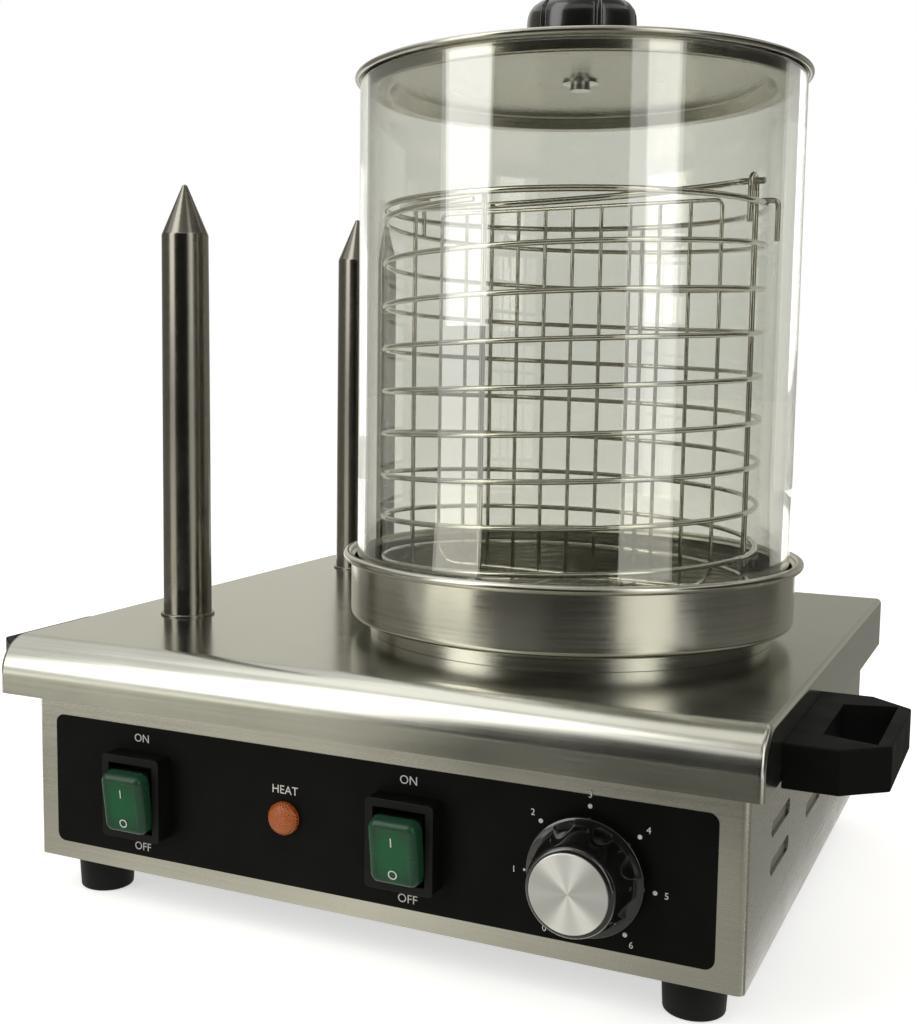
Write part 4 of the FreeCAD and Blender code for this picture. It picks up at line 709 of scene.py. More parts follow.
@dataclass(frozen=True)
class SpunAluminium(Finish):
    """Aluminium disc turned in fine circles, with painted highlights: fans of light from its middle are painted
    into its colour.
    """

    middle: Point
    dark: Point = (0.5, 0.5, 0.47)
    light: Point = (1.0, 1.0, 0.97)
    ring_scale: float = 3000.0
    wide: Point = (2.0, -2.05, 0.34)
    narrow: Point = (6.0, 0.6, 0.2)
    lift: float = 0.56
    contrast: float = 2.2
    ring_share: float = 0.25

    def feed(self, nodes: Nodes) -> None:
        """Feeds the painted highlight fans and the circles.

        A fan is share sin(count a + shift) of the angle a round the middle, for a wide and a narrow
        one of (count, shift, share); their lifted sum to a power, and the circles, give the colour.

        Args:
            nodes: the material's nodes.
        """
        x, _, z = nodes.parts(self.middle)
        angle = nodes.maths("ARCTAN2", z, x)
        out = nodes.maths("MULTIPLY", nodes.away(x, z), self.ring_scale)
        rings = nodes.noise(1.0, where=nodes.add("CombineXYZ", X=out).outputs[0])
        fans = [
            (nodes.chain(angle, ("MULTIPLY", count), ("ADD", shift), ("SINE", 0.0)), share)
            for count, shift, share in (self.wide, self.narrow)
        ]
        # The fans are painted highlights in the disc's colour; the circles are its real turned lines.
        fan = nodes.chain(nodes.both(*fans), ("ADD", self.lift), ("POWER", self.contrast))
        light = nodes.maths("ADD", fan, nodes.maths("MULTIPLY", rings, self.ring_share))
        nodes.surface(
            Base_Color=nodes.blend(light, self.dark, self.light),
            Metallic=0.65,
            Roughness=nodes.spread(rings, 0.3, 0.42),
            Normal=nodes.bump(rings, 0.006 * MM),
        )


@dataclass(frozen=True)
class ClearGlass(Finish):
    """Clear drawn glass with a faint green cast."""

    tone: Point = (0.85, 0.855, 0.8)
    wave_scale: Point = (14, 14, 3)
    cloud_scale: float = 8.0

    def feed(self, nodes: Nodes) -> None:
        """Feeds slow waves along the height, which bend the reflections a little.

        Args:
            nodes: the material's nodes.
        """
        waves = nodes.noise(1.0, 1.0, nodes.stretched(self.wave_scale))
        cloud = nodes.noise(self.cloud_scale)
        nodes.surface(
            Base_Color=nodes.blend(nodes.spread(cloud), self.tone, shade(self.tone, 1.015)),
            Roughness=nodes.spread(cloud, 0.0, 0.01),
            Transmission_Weight=1.0,
            IOR=1.47,
            Coat_Weight=1.0,
            Coat_IOR=1.7,
            Coat_Roughness=0.0,
            Normal=nodes.bump(waves, 0.05 * MM, 0.3),
        )


@dataclass(frozen=True)
class Print(Finish):
    """White print with slightly uneven ink."""

    tone: Point = (0.75, 0.75, 0.72)
    ink_scale: float = 2500.0

    def feed(self, nodes: Nodes) -> None:
        """Feeds the ink's spots.

        Args:
            nodes: the material's nodes.
        """
        ink = nodes.noise(self.ink_scale)
        nodes.surface(
            Base_Color=nodes.blend(nodes.spread(ink), shade(self.tone, 0.82), self.tone),
            Roughness=nodes.spread(ink, 0.45, 0.6),
        )


class Finishes:
    """Every material of the steamer that more than one piece can use, made once."""

    def __init__(self) -> None:
        """Makes the materials."""
        plain, black, soft_black = Grain.NONE, (0.005, 0.005, 0.005), (0.007, 0.007, 0.007)
        self.sheet = Steel("cabinet sheet", (0.56, 0.55, 0.49), (0.2, 0.33)).build()
        self.cover = Steel("cover sheet", (0.5, 0.5, 0.44), (0.15, 0.26)).build()
        self.pan = Steel("pan steel", (0.54, 0.53, 0.46), (0.16, 0.28), Grain.ROUND).build()
        # The leaf is the casing's own sheet; its darker tone is painted shade for the recess behind the louvre.
        self.leaf = Steel("louvre leaf with painted shade", (0.42, 0.41, 0.36), (0.3, 0.42)).build()
        self.lid = Steel("lid steel", (0.43, 0.42, 0.36), (0.18, 0.3), Grain.ROUND).build()
        self.spike = Steel("spike steel", (0.21, 0.2, 0.17), (0.16, 0.26), plain).build()
        self.wire = Steel("basket wire", (0.58, 0.565, 0.5), (0.06, 0.12), plain).build()
        # A brighter copy of the basket wire for the bottom's hoop and wires: painted light, as from above.
        self.foot_wire = Steel("bright wire", (0.72, 0.71, 0.66), (0.16, 0.26), plain).build()
        self.plate = Steel("galvanised plate", (0.52, 0.54, 0.55), (0.35, 0.5)).build()
        self.screw = Steel("plated screw", (0.66, 0.66, 0.65), grain=plain).build()
        self.sheath = Steel("heater sheath", (0.34, 0.32, 0.3), (0.35, 0.5), plain).build()
        self.cast = Steel("cast aluminium", (0.56, 0.56, 0.56), (0.45, 0.6), plain, 0.05 * MM).build()
        self.brass = Steel("plain brass", (0.72, 0.55, 0.26), (0.25, 0.38), plain).build()
        rubber = Plastic("foot rubber", (0.008, 0.008, 0.008), (0.5, 0.65), 500, 0.03 * MM, gloss=0.15)
        self.rubber = rubber.build()
        self.handle = Plastic("handle plastic", black, (0.48, 0.6), 1400, 0.02 * MM, gloss=0.06).build()
        film = Plastic("panel film", (0.005, 0.005, 0.0045), (0.42, 0.5), 2600, 0.004 * MM, gloss=0.08)
        self.film = film.build()
        self.boot = Plastic("switch black", black, (0.38, 0.5), 1200, gloss=0.2).build()
        self.knob = Plastic("gloss black", black, (0.12, 0.22), 700, 0.004 * MM, 1.0).build()
        self.bakelite = Plastic("lid knob black", soft_black, (0.18, 0.28), 600, 0.006 * MM, 0.6).build()
        self.cream = Plastic("cream plastic", (0.6, 0.56, 0.44), (0.4, 0.55)).build()
        self.glass = ClearGlass("clear glass").build()
        self.print = Print("white print").build()


def settle(
    piece: bpy.types.Object, body: str, slot: str, material: bpy.types.Material, *nodes: str
) -> bpy.types.Object:
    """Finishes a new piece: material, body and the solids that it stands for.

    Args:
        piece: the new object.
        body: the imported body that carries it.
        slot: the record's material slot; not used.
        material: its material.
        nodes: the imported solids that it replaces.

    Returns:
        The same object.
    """
    dress(piece, material)
    if nodes:
        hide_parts(*nodes)
    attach(piece, body)
    LOG.info("%s: %d faces, rides on %s", piece.name, len(piece.data.polygons), body)
    return piece


def dress(piece: bpy.types.Object, material: bpy.types.Material) -> None:
    """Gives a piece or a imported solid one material."""
    piece.data.materials.clear()
    piece.data.materials.append(material)


# Sub-assemblies


@dataclass
class Cabinet:
    """Folded casing, cover with its round nose, feet, handles and the fittings that carry them."""

    look: Finishes
    fold_ease: float = 0.35 * MM
    handle_ease: float = 0.6 * MM
    foot_ease: float = 1.0 * MM
    gland_ease: float = 0.4 * MM
    wall_inside: float = 160.9 * MM
    leaf: float = 0.5 * MM
    slot_half: Span = (20.0 * MM, 4.3 * MM)
    slot_y: Span = (-75.2 * MM, 2.8 * MM)
    slot_z: Span = (51.0 * MM, 66.5 * MM)

    def build(self) -> None:
        """Makes the cabinet's pieces."""
        casing = eased_copy("casing_walls", "casing", self.fold_ease, fold=25)
        settle(casing, "cabinet", "stainless_sheet", self.look.sheet)
        cover = eased_copy("cover_sheet", "top_cover", self.fold_ease, fold=25)
        settle(cover, "cabinet", "stainless_sheet", self.look.cover)
        for side in ("left", "right"):
            grip = eased_copy(f"side_grip_{side}", f"side_handle_{side}", self.handle_ease, 3)
            settle(grip, "cabinet", "handle_plastic", self.look.handle)
            for end in ("front", "rear"):
                foot = eased_copy(f"rubber_foot_{end}_{side}", f"foot_{end}_{side}", self.foot_ease, 3)
                settle(foot, "cabinet", "foot_rubber", self.look.rubber)
        gland = eased_copy("gland_body", "cable_gland", self.gland_ease)
        settle(gland, "cabinet", "switch_black", self.look.boot)
        for side, sign in (("left", -1), ("right", 1)):
            for row, z in enumerate(self.slot_z):
                for column, y in enumerate(self.slot_y):
                    leaf = self.louvre_leaf(f"louvre_leaf_{side}_{row}_{column}", sign, y, z)
                    # The leaves get the darker steel, which is painted shade in the louvres.
                    settle(leaf, "cabinet", "stainless_sheet", self.look.leaf)

    def louvre_leaf(self, name: str, sign: int, y: float, z: float) -> bpy.types.Object:
        """The pressed leaf behind one louvre: a long flat plate with round ends inside the wall.

        Args:
            name: name of the piece.
            sign: -1 at the left wall, 1 at the right wall.
            y: middle of the louvre.
            z: its height.

        Returns:
            The new object.
        """
        half, tall = self.slot_half
        edge = rounded_box(half, tall, tall - 0.05 * MM)
        shares = np.array([0.0, 0.5, 1.0, 1.0, 0.5, 0.0])[:, None]
        depth = np.array([0.0, 0.0, 0.0, 1.0, 1.0, 1.0])[:, None] * self.leaf
        x = sign * (self.wall_inside - depth) + 0 * edge[None, :, 0]
        points = np.stack([x, y + shares * edge[None, :, 0], z + shares * edge[None, :, 1]], axis=-1)
        return grids_piece(name, [points], False, True, 50)


@dataclass
class ControlPanel:
    """Printed black panel with two rocker switches, a pilot lamp and the dial."""

    look: Finishes
    film_ease: float = 0.12 * MM
    switch_x: Span = (-0.1036, 0.027)
    switch_z: float = CASE_BOTTOM + 0.0368
    on_z: float = 0.0788
    off_z: float = 0.0296
    lamp_x: float = -0.0304
    lamp_z: float = CASE_BOTTOM + 0.0371
    heat_z: float = 0.0663
    dial_x: float = 0.1027
    dial_z: float = CASE_BOTTOM + 0.0365
    letter: float = 3.6 * MM
    number: float = 2.6 * MM
    mark: float = 3.9 * MM
    mark_z: Span = (5.2 * MM, -8.6 * MM)
    print_lift: float = 0.03 * MM
    bezel_ease: float = 0.9 * MM
    rocker_axis: float = 4.0 * MM
    cap_width: float = 22.2 * MM
    cap_height: float = 27.6 * MM
    cap_corner: float = 4.0 * MM
    cap_front: float = 11.2 * MM
    cap_back: float = 4.6 * MM
    skirt_back: float = 1.0 * MM
    skirt_inset: float = 0.9 * MM
    skirt_corner: float = 2.0 * MM
    tilt: float = 8.0
    lens_radius: float = 7.0 * MM
    lens_height: float = 5.0 * MM
    dot_radius: float = 0.9 * MM
    bar_shape: Span = (1.9, 0.35)
    first_dot_shape: Span = (0.6, 0.6)
    dial_ring: float = 26.0 * MM
    number_ring: float = 30.4 * MM
    number_turn: float = 48.5
    scallops: int = 8
    scallop_radius: float = 6.0 * MM
    scallop_orbit: float = 24.4 * MM
    skirt_radius: float = 23.2 * MM
    knob_gap: float = 3.2 * MM
    knob_height: float = 20.0 * MM
    knob_steps: int = 512
    disc_radius: float = 15.2 * MM
    disc_height: float = 0.8 * MM

    def build(self) -> None:
        """Makes the panel's pieces."""
        film = eased_copy("panel_film", "control_overlay", self.film_ease)
        settle(film, "cabinet", "overlay_film", self.look.film)
        self.build_words()
        for side, x in zip(("left", "right"), self.switch_x):
            self.build_switch(side, x)
        self.build_lamp()
        self.build_knob()

    def on_dial(self, number: int, ring: float) -> tuple[float, float, float]:
        """The x, the z and the turn in radians of a number's place on a ring round the dial."""
        turn = math.radians(90 + (3 - number) * self.number_turn)
        return self.dial_x + ring * math.cos(turn), self.dial_z + ring * math.sin(turn), turn

    def build_words(self) -> None:
        """Prints the generic words, the dial's numbers and its dots on the panel."""
        y = FACE_Y - self.print_lift
        words = [(text, x, z) for x in self.switch_x for text, z in (("ON", self.on_z), ("OFF", self.off_z))]
        words.append(("HEAT", self.lamp_x, self.heat_z))
        numbers = [(str(number), *self.on_dial(number, self.number_ring)[:2]) for number in range(7)]
        for print_piece in (
            lettering("panel_words", words, self.letter, y),
            lettering("dial_numbers", numbers, self.number, y),
            self.dial_dots(y),
        ):
            settle(print_piece, "cabinet", "overlay_film", self.look.print)

    def dial_dots(self, y: float) -> bpy.types.Object:
        """Flat round dots on a ring, the first one smaller, and a short bar for the off mark.

        A dot's rim is centre + radius (cos a, sin a), turned with the dial; it closes to a thin disc.

        Args:
            y: the plane of the print.

        Returns:
            The new object.
        """
        angle = np.linspace(0, FULL_TURN, 20, endpoint=False)
        share, rise = np.array([[0.0, 1.0, 1.0, 0.0], [1.0, 1.0, -1.0, -1.0]])
        shapes = {0: self.bar_shape, 1: self.first_dot_shape}
        dots = []
        for number in range(7):
            x, z, turn = self.on_dial(number, self.dial_ring)
            along, aside = shapes.get(number, (1.0, 1.0))
            rim = self.dot_radius * np.stack([along * np.cos(angle), aside * np.sin(angle)], axis=-1)
            rim = rim @ np.array([[math.cos(turn), math.sin(turn)], [-math.sin(turn), math.cos(turn)]])
            flat = np.array([x, z]) + share[:, None, None] * rim
            depth = np.broadcast_to(y + rise[:, None] * PRINT_DEPTH, flat.shape[:2])
            dots.append(np.stack([flat[..., 0], depth, flat[..., 1]], axis=-1))
        return grids_piece("dial_dots", dots, False, True)

    def block(self, name: str, half: Span, corner: float, rings: list[Span], place: Matrix) -> bpy.types.Object:
        """A rounded rectangle carried through depth, inset at each ring, and closed at both ends.

        Args:
            name: name of the piece.
            half: half of its width and height.
            corner: radius of its corners.
            rings: (inset, depth towards the front) from the back to the front.
            place: where the block's own middle goes.

        Returns:
            The new object.
        """
        least = 0.2 * MM
        outline = np.stack(
            [rounded_box(half[0] - inset, half[1] - inset, max(corner - inset, least)) for inset, _ in rings]
        )
        depth = np.array([-ahead for _, ahead in rings])[:, None] + 0 * outline[..., 0]
        points = np.stack([outline[..., 0], depth, outline[..., 1]], axis=-1)
        shares = np.array([0.0, 0.35, 0.7])[:, None, None]
        narrow = np.concatenate([shares, 1 + 0 * shares, shares], axis=2)
        points = np.concatenate([points[:1] * narrow, points, points[-1:] * narrow[::-1]])
        piece = grids_piece(name, [points], False, True, 50)
        piece.data.transform(place)
        return piece

    def build_switch(self, side: str, x: float) -> None:
        """One rocker switch: bezel, black skirt and green cap of the rocker, and its two marks.

        Args:
            side: left or right.
            x: the middle of the switch.
        """
        body = f"rocker_{side}"
        bezel = eased_copy(f"switch_{side}_frame", f"switch_{side}_bezel", self.bezel_ease, 3, 50)
        settle(bezel, "cabinet", "switch_black", self.look.boot)
        axis = (x, FACE_Y - self.rocker_axis, self.switch_z)
        place = Matrix.Translation(axis) @ Matrix.Rotation(math.radians(self.tilt), 4, "X")
        back, front = self.cap_back, self.cap_front
        half = (self.cap_width / 2, self.cap_height / 2)
        inner = (half[0] - self.skirt_inset, half[1] - self.skirt_inset)
        low = self.skirt_back
        rings = [(0.4 * MM, low), (0.0, low + 0.4 * MM), (0.0, back + 0.3 * MM)]
        skirt = self.block(f"switch_{side}_skirt", inner, self.skirt_corner, rings, place)
        settle(skirt, body, "rocker_green", self.look.boot)
        root = [(0.5, 0.0), (0.1, 0.25), (0.0, 0.7)]
        crown = [(0.15, -3.2), (0.5, -1.7), (1.2, -0.7), (2.2, -0.2), (3.2, -0.05), (3.9, -0.25), (4.6, -0.4)]
        rings = [(inset * MM, back + ahead * MM) for inset, ahead in root]
        rings += [(inset * MM, front + ahead * MM) for inset, ahead in crown]
        cap = self.block(f"switch_{side}_cap", half, self.cap_corner, rings, place)
        # The cap's green carries a painted glow in its middle.
        green = RockerGreen(f"rocker green with painted glow {side}", tuple(place @ Vector((0, -front, 0)))).build()
        settle(cap, body, "rocker_green", green, f"switch_{side}_rocker")
        words = [("I", 0.0, self.mark_z[0]), ("O", 0.0, self.mark_z[1])]
        marks = lettering(f"switch_{side}_marks", words, self.mark, PRINT_DEPTH - front)
        marks.data.transform(place)
        settle(marks, body, "rocker_green", self.look.print)

    def build_lamp(self) -> None:
        """The pilot lamp's domed lens: an outline of radius and height, turned, then laid to the front."""
        radius, height = self.lens_radius, self.lens_height
        outline = rounded_outline(
            [
                (0.0, 0.0, 0.0), (radius, 0.0, 0.3 * MM), (radius, 2.2 * MM, 0.8 * MM),
                (0.8 * radius, 0.82 * height, 2.5 * MM), (0.4 * radius, height, 2.0 * MM), (0.0, height, 0.0),
            ]
        )
        middle = (self.lamp_x, FACE_Y, self.lamp_z)
        lens = turned("lamp_dome", outline, (0, 0, 0), 72)
        lens.data.transform(to_front(middle))
        settle(lens, "cabinet", "lens_orange", LampOrange("lens orange", middle).build(), "heat_lamp_lens")

    def build_knob(self) -> None:
        """The scalloped knob and the disc in its front.

        The outline gives radius and height as shares, and 1 where scallops cut it. Each scallop is a
        circle of radius b whose middle lies e away: at an angle d from it, the edge is at
        e cos d - sqrt(b^2 - e^2 sin^2 d), and the knob keeps the smaller of the two, a little soft.
        """
        outline = [
            (0.0, 0.0, 0), (0.97, 0.0, 0), (1.0, 0.03, 0), (1.0, 0.12, 0), (0.985, 0.145, 0), (0.93, 0.158, 0),
            (0.895, 0.168, 1), (0.885, 0.2, 1), (0.86, 0.35, 1), (0.83, 0.5, 1), (0.8, 0.65, 1), (0.77, 0.8, 1),
            (0.752, 0.9, 1), (0.735, 0.955, 1), (0.71, 0.985, 1), (0.68, 0.997, 1), (0.66, 1.0, 0), (0.0, 1.0, 0),
        ]
        share, level, cut = np.array(outline).T[:, None]
        bite, orbit, soft, slack = self.scallop_radius, self.scallop_orbit, 0.35 * MM, 0.12 * MM
        angle = np.linspace(0, FULL_TURN, self.knob_steps, endpoint=False)[:, None]
        half_step = math.pi / self.scallops
        away = (angle % (2 * half_step)) - half_step
        inside = np.clip(bite ** 2 - (orbit * np.sin(away)) ** 2, 0, None)
        edge = np.where(inside > 0, orbit * np.cos(away) - np.sqrt(inside), 1.0)
        radius = share * self.skirt_radius + 0 * angle
        smaller = 0.5 * (radius + edge - np.sqrt((radius - edge) ** 2 + soft ** 2))
        radius = np.where((cut > 0) & (edge < 1.0), np.minimum(radius, smaller + slack), radius)
        x, z = self.dial_x + radius * np.cos(angle), self.dial_z + radius * np.sin(angle)
        y = FACE_Y - self.knob_gap - level * self.knob_height + 0 * angle
        knob = grids_piece("dial_knob", [np.stack([x, y, z], axis=-1)], True, False, 55)
        settle(knob, "dial", "knob_black", self.look.knob, "thermostat_knob")
        out, high = self.disc_radius, self.disc_height
        rim = rounded_outline([(0.0, 0.0, 0.0), (out, 0.0, 0.1 * MM), (out, high, 0.35 * MM), (0.0, high, 0.0)])
        middle = (self.dial_x, FACE_Y - self.knob_gap - self.knob_height, self.dial_z)
        disc = turned("dial_cap", rim, (0, 0, 0), 128)
        disc.data.transform(to_front(middle))
        spun = SpunAluminium("spun aluminium with painted fans", middle).build()
        settle(disc, "dial", "spun_aluminium", spun, "thermostat_knob_cap")


@dataclass
class SteamingPan:
    """Drawn pan with a rolled rim, and the collar that it stands in."""

    look: Finishes
    wall: float = 102.8 * MM
    rim: float = 35.3 * MM
    shoulder: float = 7.2 * MM
    well: float = 84.0 * MM
    sheet: float = 1.0 * MM
    bead: float = 1.9 * MM
    overhang: float = 1.8 * MM
    stud: float = 3.0 * MM
    stud_length: float = 23.4 * MM
    collar: Span = (91.2 * MM, 93.6 * MM)
    collar_height: float = 6.0 * MM

    def build(self) -> None:
        """Makes the pan and its collar: closed outlines of radius and height turned about the axis."""
        t = self.sheet
        low, step = -self.stud_length, self.shoulder
        inner = rounded_outline(
            [
                (0.0, low, 0.0), (self.stud, low, 0.4 * MM), (self.stud, 0.0, 0.0),
                (self.well, 0.0, 1.2 * MM), (self.well, step, 0.6 * MM),
                (self.wall, step, 2.8 * MM), (self.wall, self.rim - 1.7 * MM, 0.4 * MM),
            ]
        )
        turn = np.linspace(-0.75 * math.pi, 1.02 * math.pi, 26)
        rolled = self.wall + self.overhang
        roll = np.stack([rolled + self.bead * np.cos(turn), self.rim + self.bead * np.sin(turn)], axis=-1)
        outer = rounded_outline(
            [
                (self.wall - t, self.rim - 1.0 * MM, 0.3 * MM), (self.wall - t, step + t, 1.8 * MM),
                (self.well - t, step + t, 0.6 * MM), (self.well - t, t, 1.2 * MM), (0.0, t, 0.0),
            ]
        )
        place = (PAN_X, PAN_Y, COVER_TOP)
        pan = turned("pan_bowl", np.concatenate([inner, roll, outer]), place, sharp=55)
        settle(pan, "cabinet", "stainless_sheet", self.look.pan, "water_pan")
        near, far = self.collar
        up = self.collar_height
        ring = rounded_outline(
            [(near, 0.0, 0.2 * MM), (far, 0.0, 0.2 * MM), (far, up, 1.0 * MM), (near, up, 0.5 * MM)]
        )
        settle(turned("collar_ring", ring, place), "cabinet", "stainless_sheet", self.look.pan, "pan_collar")


@dataclass
class GlassAndLid:
    """Open glass cylinder, pressed lid with a rolled edge, and its moulded knob."""

    look: Finishes
    radius: float = 100.0 * MM
    wall: float = 3.5 * MM
    height: float = 242.0 * MM
    foot: float = 0.1285
    lid_level: float = 0.3706
    step: float = 95.6 * MM
    drop: float = 5.4 * MM
    sheet: float = 1.0 * MM
    crown: float = 1.6 * MM
    plateau: float = 26.0 * MM
    hole: float = 2.8 * MM
    bead: float = 1.4 * MM
    bead_ring: float = 101.0 * MM
    knob_level: float = 0.3732
    knob_radius: float = 24.7 * MM
    knob_height: float = 34.0 * MM
    grooves: int = 6
    groove_turn: float = -54.0
    groove_depth: float = 1.6 * MM
    groove_half: float = 0.05

    def build(self) -> None:
        """Makes the glass, the lid and the knob."""
        inner, outer, top = self.radius - self.wall, self.radius, self.height
        outline = rounded_outline(
            [(inner, 0.0, 1.0 * MM), (outer, 0.0, 1.0 * MM), (outer, top, 1.3 * MM), (inner, top, 1.3 * MM)]
        )
        glass = turned("glass_tube", outline, (PAN_X, PAN_Y, self.foot), sharp=60)
        settle(glass, "glass", "clear_glass", self.look.glass, "glass_cylinder")
        self.build_lid()
        self.build_knob()

    def build_lid(self) -> None:
        """The lid: one sheet outline of radius and height with a bead at its edge, turned about the axis."""
        t, crown, drop, step = self.sheet, self.crown, self.drop, self.step
        plateau, hole = self.plateau, self.hole
        sheet = rounded_outline(
            [
                (step - t, t, 0.8 * MM), (step - t, t - drop, 0.8 * MM),
                (87.5 * MM, t - drop, 2.0 * MM), (83.5 * MM, t, 3.0 * MM),
                (plateau, crown + t, 6.0 * MM), (hole, crown + t, 0.0),
                (hole, crown, 0.0), (plateau, crown, 6.0 * MM),
                (83.0 * MM, 0.0, 3.0 * MM), (87.0 * MM, -drop, 2.0 * MM),
                (step, -drop, 1.2 * MM), (step, 0.0, 0.5 * MM),
            ]
        )
        turn = np.linspace(-0.72 * math.pi, 0.8 * math.pi, 24)
        bead = np.stack([self.bead_ring + self.bead * np.cos(turn), crown + self.bead * np.sin(turn)], axis=-1)
        lid = turned("lid_sheet", np.concatenate([sheet, bead]), (PAN_X, PAN_Y, self.lid_level), sharp=55)
        settle(lid, "lid", "stainless_sheet", self.look.lid, "lid")

    def build_knob(self) -> None:
        """The lid's knob with upright grooves.

        The outline gives radius and height as shares, and how much of a groove cuts it. The radius is
        the outline's less depth exp(-(d / w)^4), where d is the angle to the nearest groove.
        """
        outline = [
            (0.0, 0.0, 0), (0.44, 0.0, 0), (0.445, 0.02, 0), (0.445, 0.38, 0), (0.47, 0.405, 0), (0.84, 0.412, 0),
            (0.9, 0.43, 1), (0.97, 0.48, 1), (0.995, 0.54, 1), (1.0, 0.62, 1), (1.0, 0.72, 1), (0.99, 0.8, 1),
            (0.96, 0.87, 1), (0.9, 0.93, 1), (0.82, 0.97, 1), (0.7, 0.99, 0.6), (0.5, 1.0, 0.1), (0.0, 1.0, 0),
        ]
        share, level, cut = np.array(outline).T[:, None]
        angle = np.linspace(0, FULL_TURN, 480, endpoint=False)[:, None]
        step = FULL_TURN / self.grooves
        away = (angle - math.radians(self.groove_turn) + step / 2) % step - step / 2
        groove = self.groove_depth * np.exp(-((away / self.groove_half) ** 4)) * cut
        radius = share * self.knob_radius - groove
        z = self.knob_level + level * self.knob_height + 0 * angle
        points = np.stack([PAN_X + radius * np.cos(angle), PAN_Y + radius * np.sin(angle), z], axis=-1)
        knob = grids_piece("lid_grip", [points], True, False, 50)
        settle(knob, "lid", "handle_plastic", self.look.bakelite, "lid_knob")


@dataclass
class WireBasket:
    """Basket of bright wire: a wound wire on four uprights, with a rim, a divider and a bail."""

    look: Finishes
    aside: float = 2.0 * MM
    turn: float = -6.0
    coil_radius: float = 86.5 * MM
    coil_wire: float = 1.2 * MM
    pitch: float = 19.3 * MM
    start_level: float = 12.8 * MM
    start_angle: float = 171.5
    quarters: int = 37
    quarter_steps: int = 16
    run_steps: int = 24
    ring_level: float = 9.9 * MM
    ring_wire: float = 1.5 * MM
    grid_wire: float = 0.9 * MM
    grid_pitch: float = 14.1 * MM
    grid_pairs: int = 5
    upright_wire: float = 1.2 * MM
    upright_ring: float = 84.05 * MM
    divider_low: float = 26.0 * MM
    divider_top: float = 196.0 * MM
    divider_low_bend: float = 10.0 * MM
    divider_top_bend: float = 3.0 * MM
    divider_leg_row: int = 2
    rim_level: float = 194.3 * MM
    rim_wire: float = 1.4 * MM
    hook_angle: float = 6.0
    hook_bend: float = 2.4 * MM
    hook_reach: float = 2.3 * MM
    hook_drop: float = 15.0 * MM
    loop_wire: float = 1.2 * MM
    loop_half: float = 4.0 * MM
    loop_ring: float = 83.85 * MM
    loop_top: float = 207.1 * MM
    short_leg: float = 16.0 * MM
    bail_wire: float = 1.4 * MM
    bail_radius: float = 77.5 * MM
    bail_bend: float = 3.0 * MM
    bail_reach: float = 88.3 * MM
    bail_tilt: float = 10.0
    bail_level: float = 203.1 * MM

    def at(self, across: float, ahead: float, level: float) -> Point:
        """A point from the basket's own turned axes and its height above the cover."""
        turn = math.radians(self.turn)
        aside = across - self.aside
        return (
            PAN_X + aside * math.cos(turn) - ahead * math.sin(turn),
            PAN_Y + aside * math.sin(turn) + ahead * math.cos(turn),
            COVER_TOP + level,
        )

    def straight(self, start: Point, end: Point) -> np.ndarray:
        """A straight path between two points on the basket's own axes."""
        return np.linspace(self.at(*start), self.at(*end), self.run_steps)

    def round_path(self, angle: np.ndarray, level: np.ndarray) -> np.ndarray:
        """Points on the basket's wall from angles in radians and heights above the cover."""
        middle = np.array(self.at(0.0, 0.0, 0.0))
        radius = self.coil_radius
        return middle + np.stack([radius * np.cos(angle), radius * np.sin(angle), level], axis=-1)

    def hoop(self, steps: int, level: float) -> np.ndarray:
        """A circle on the basket's wall at a height above the cover."""
        angle = np.linspace(0, FULL_TURN, steps, endpoint=False)
        return self.round_path(angle, level + 0 * angle)

    def foot(self, wire: float) -> float:
        """The height at which an upright wire stands on a wire of the bottom grid."""
        return self.ring_level + wire + 0.05 * MM

    def string(
        self, name: str, paths: list[np.ndarray], wire: float, across: np.ndarray, *nodes: str,
        closed: bool = False, sides: int = 10, body: str = "basket", bright: bool = False,
    ) -> None:
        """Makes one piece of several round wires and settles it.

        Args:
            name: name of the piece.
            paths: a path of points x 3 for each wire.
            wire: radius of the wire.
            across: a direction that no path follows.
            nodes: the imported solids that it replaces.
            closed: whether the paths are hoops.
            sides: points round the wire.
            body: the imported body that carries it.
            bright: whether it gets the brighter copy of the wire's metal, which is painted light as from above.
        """
        tubes = [tube(path, wire, across, closed, sides) for path in paths]
        metal = self.look.foot_wire if bright else self.look.wire
        settle(grids_piece(name, tubes, closed, True, 70), body, "stainless_wire", metal, *nodes)

    def build(self) -> None:
        """Makes the basket's wires."""
        turns = np.linspace(0, self.quarters / 4, self.quarters * self.quarter_steps + 1)
        angle = math.radians(self.start_angle) + FULL_TURN * turns
        coil = self.round_path(angle, self.start_level + self.pitch * turns)
        self.string("basket_winding", [coil], self.coil_wire, UPWARD, "basket_coil", sides=12)
        self.build_bottom()
        self.build_uprights()
        self.build_divider()
        self.build_rim()
        self.build_loops()
        self.build_bail()

    def build_bottom(self) -> None:
        """The bottom: a hoop, parallel wires and one wire across them."""
        level, wire, node = self.ring_level, self.ring_wire, "basket_bottom_grid"
        # The bottom's hoop and wires take the brighter wire, which is painted light.
        self.string("basket_foot_ring", [self.hoop(128, level)], wire, UPWARD, node, closed=True, bright=True)
        reach = self.coil_radius - wire / 2
        paths = [self.straight((-reach, 0, level), (reach, 0, level))]
        for row in range(-self.grid_pairs, self.grid_pairs + 1):
            offset = row * self.grid_pitch
            chord = math.sqrt(reach ** 2 - offset ** 2)
            paths.append(self.straight((offset, -chord, level), (offset, chord, level)))
        self.string("basket_foot_wires", paths, self.grid_wire, UPWARD, bright=True)

    def build_uprights(self) -> None:
        """Two stout wires that join the turns of the coil in front and at the rear."""
        low, high, ring = self.foot(self.ring_wire), self.rim_level - self.rim_wire, self.upright_ring
        paths = [self.straight((0, ahead, low), (0, ahead, high)) for ahead in (-ring, ring)]
        across = np.array([1.0, 0.0, 0.0])
        self.string("basket_upright_wires", paths, self.upright_wire, across, "basket_uprights", sides=12)

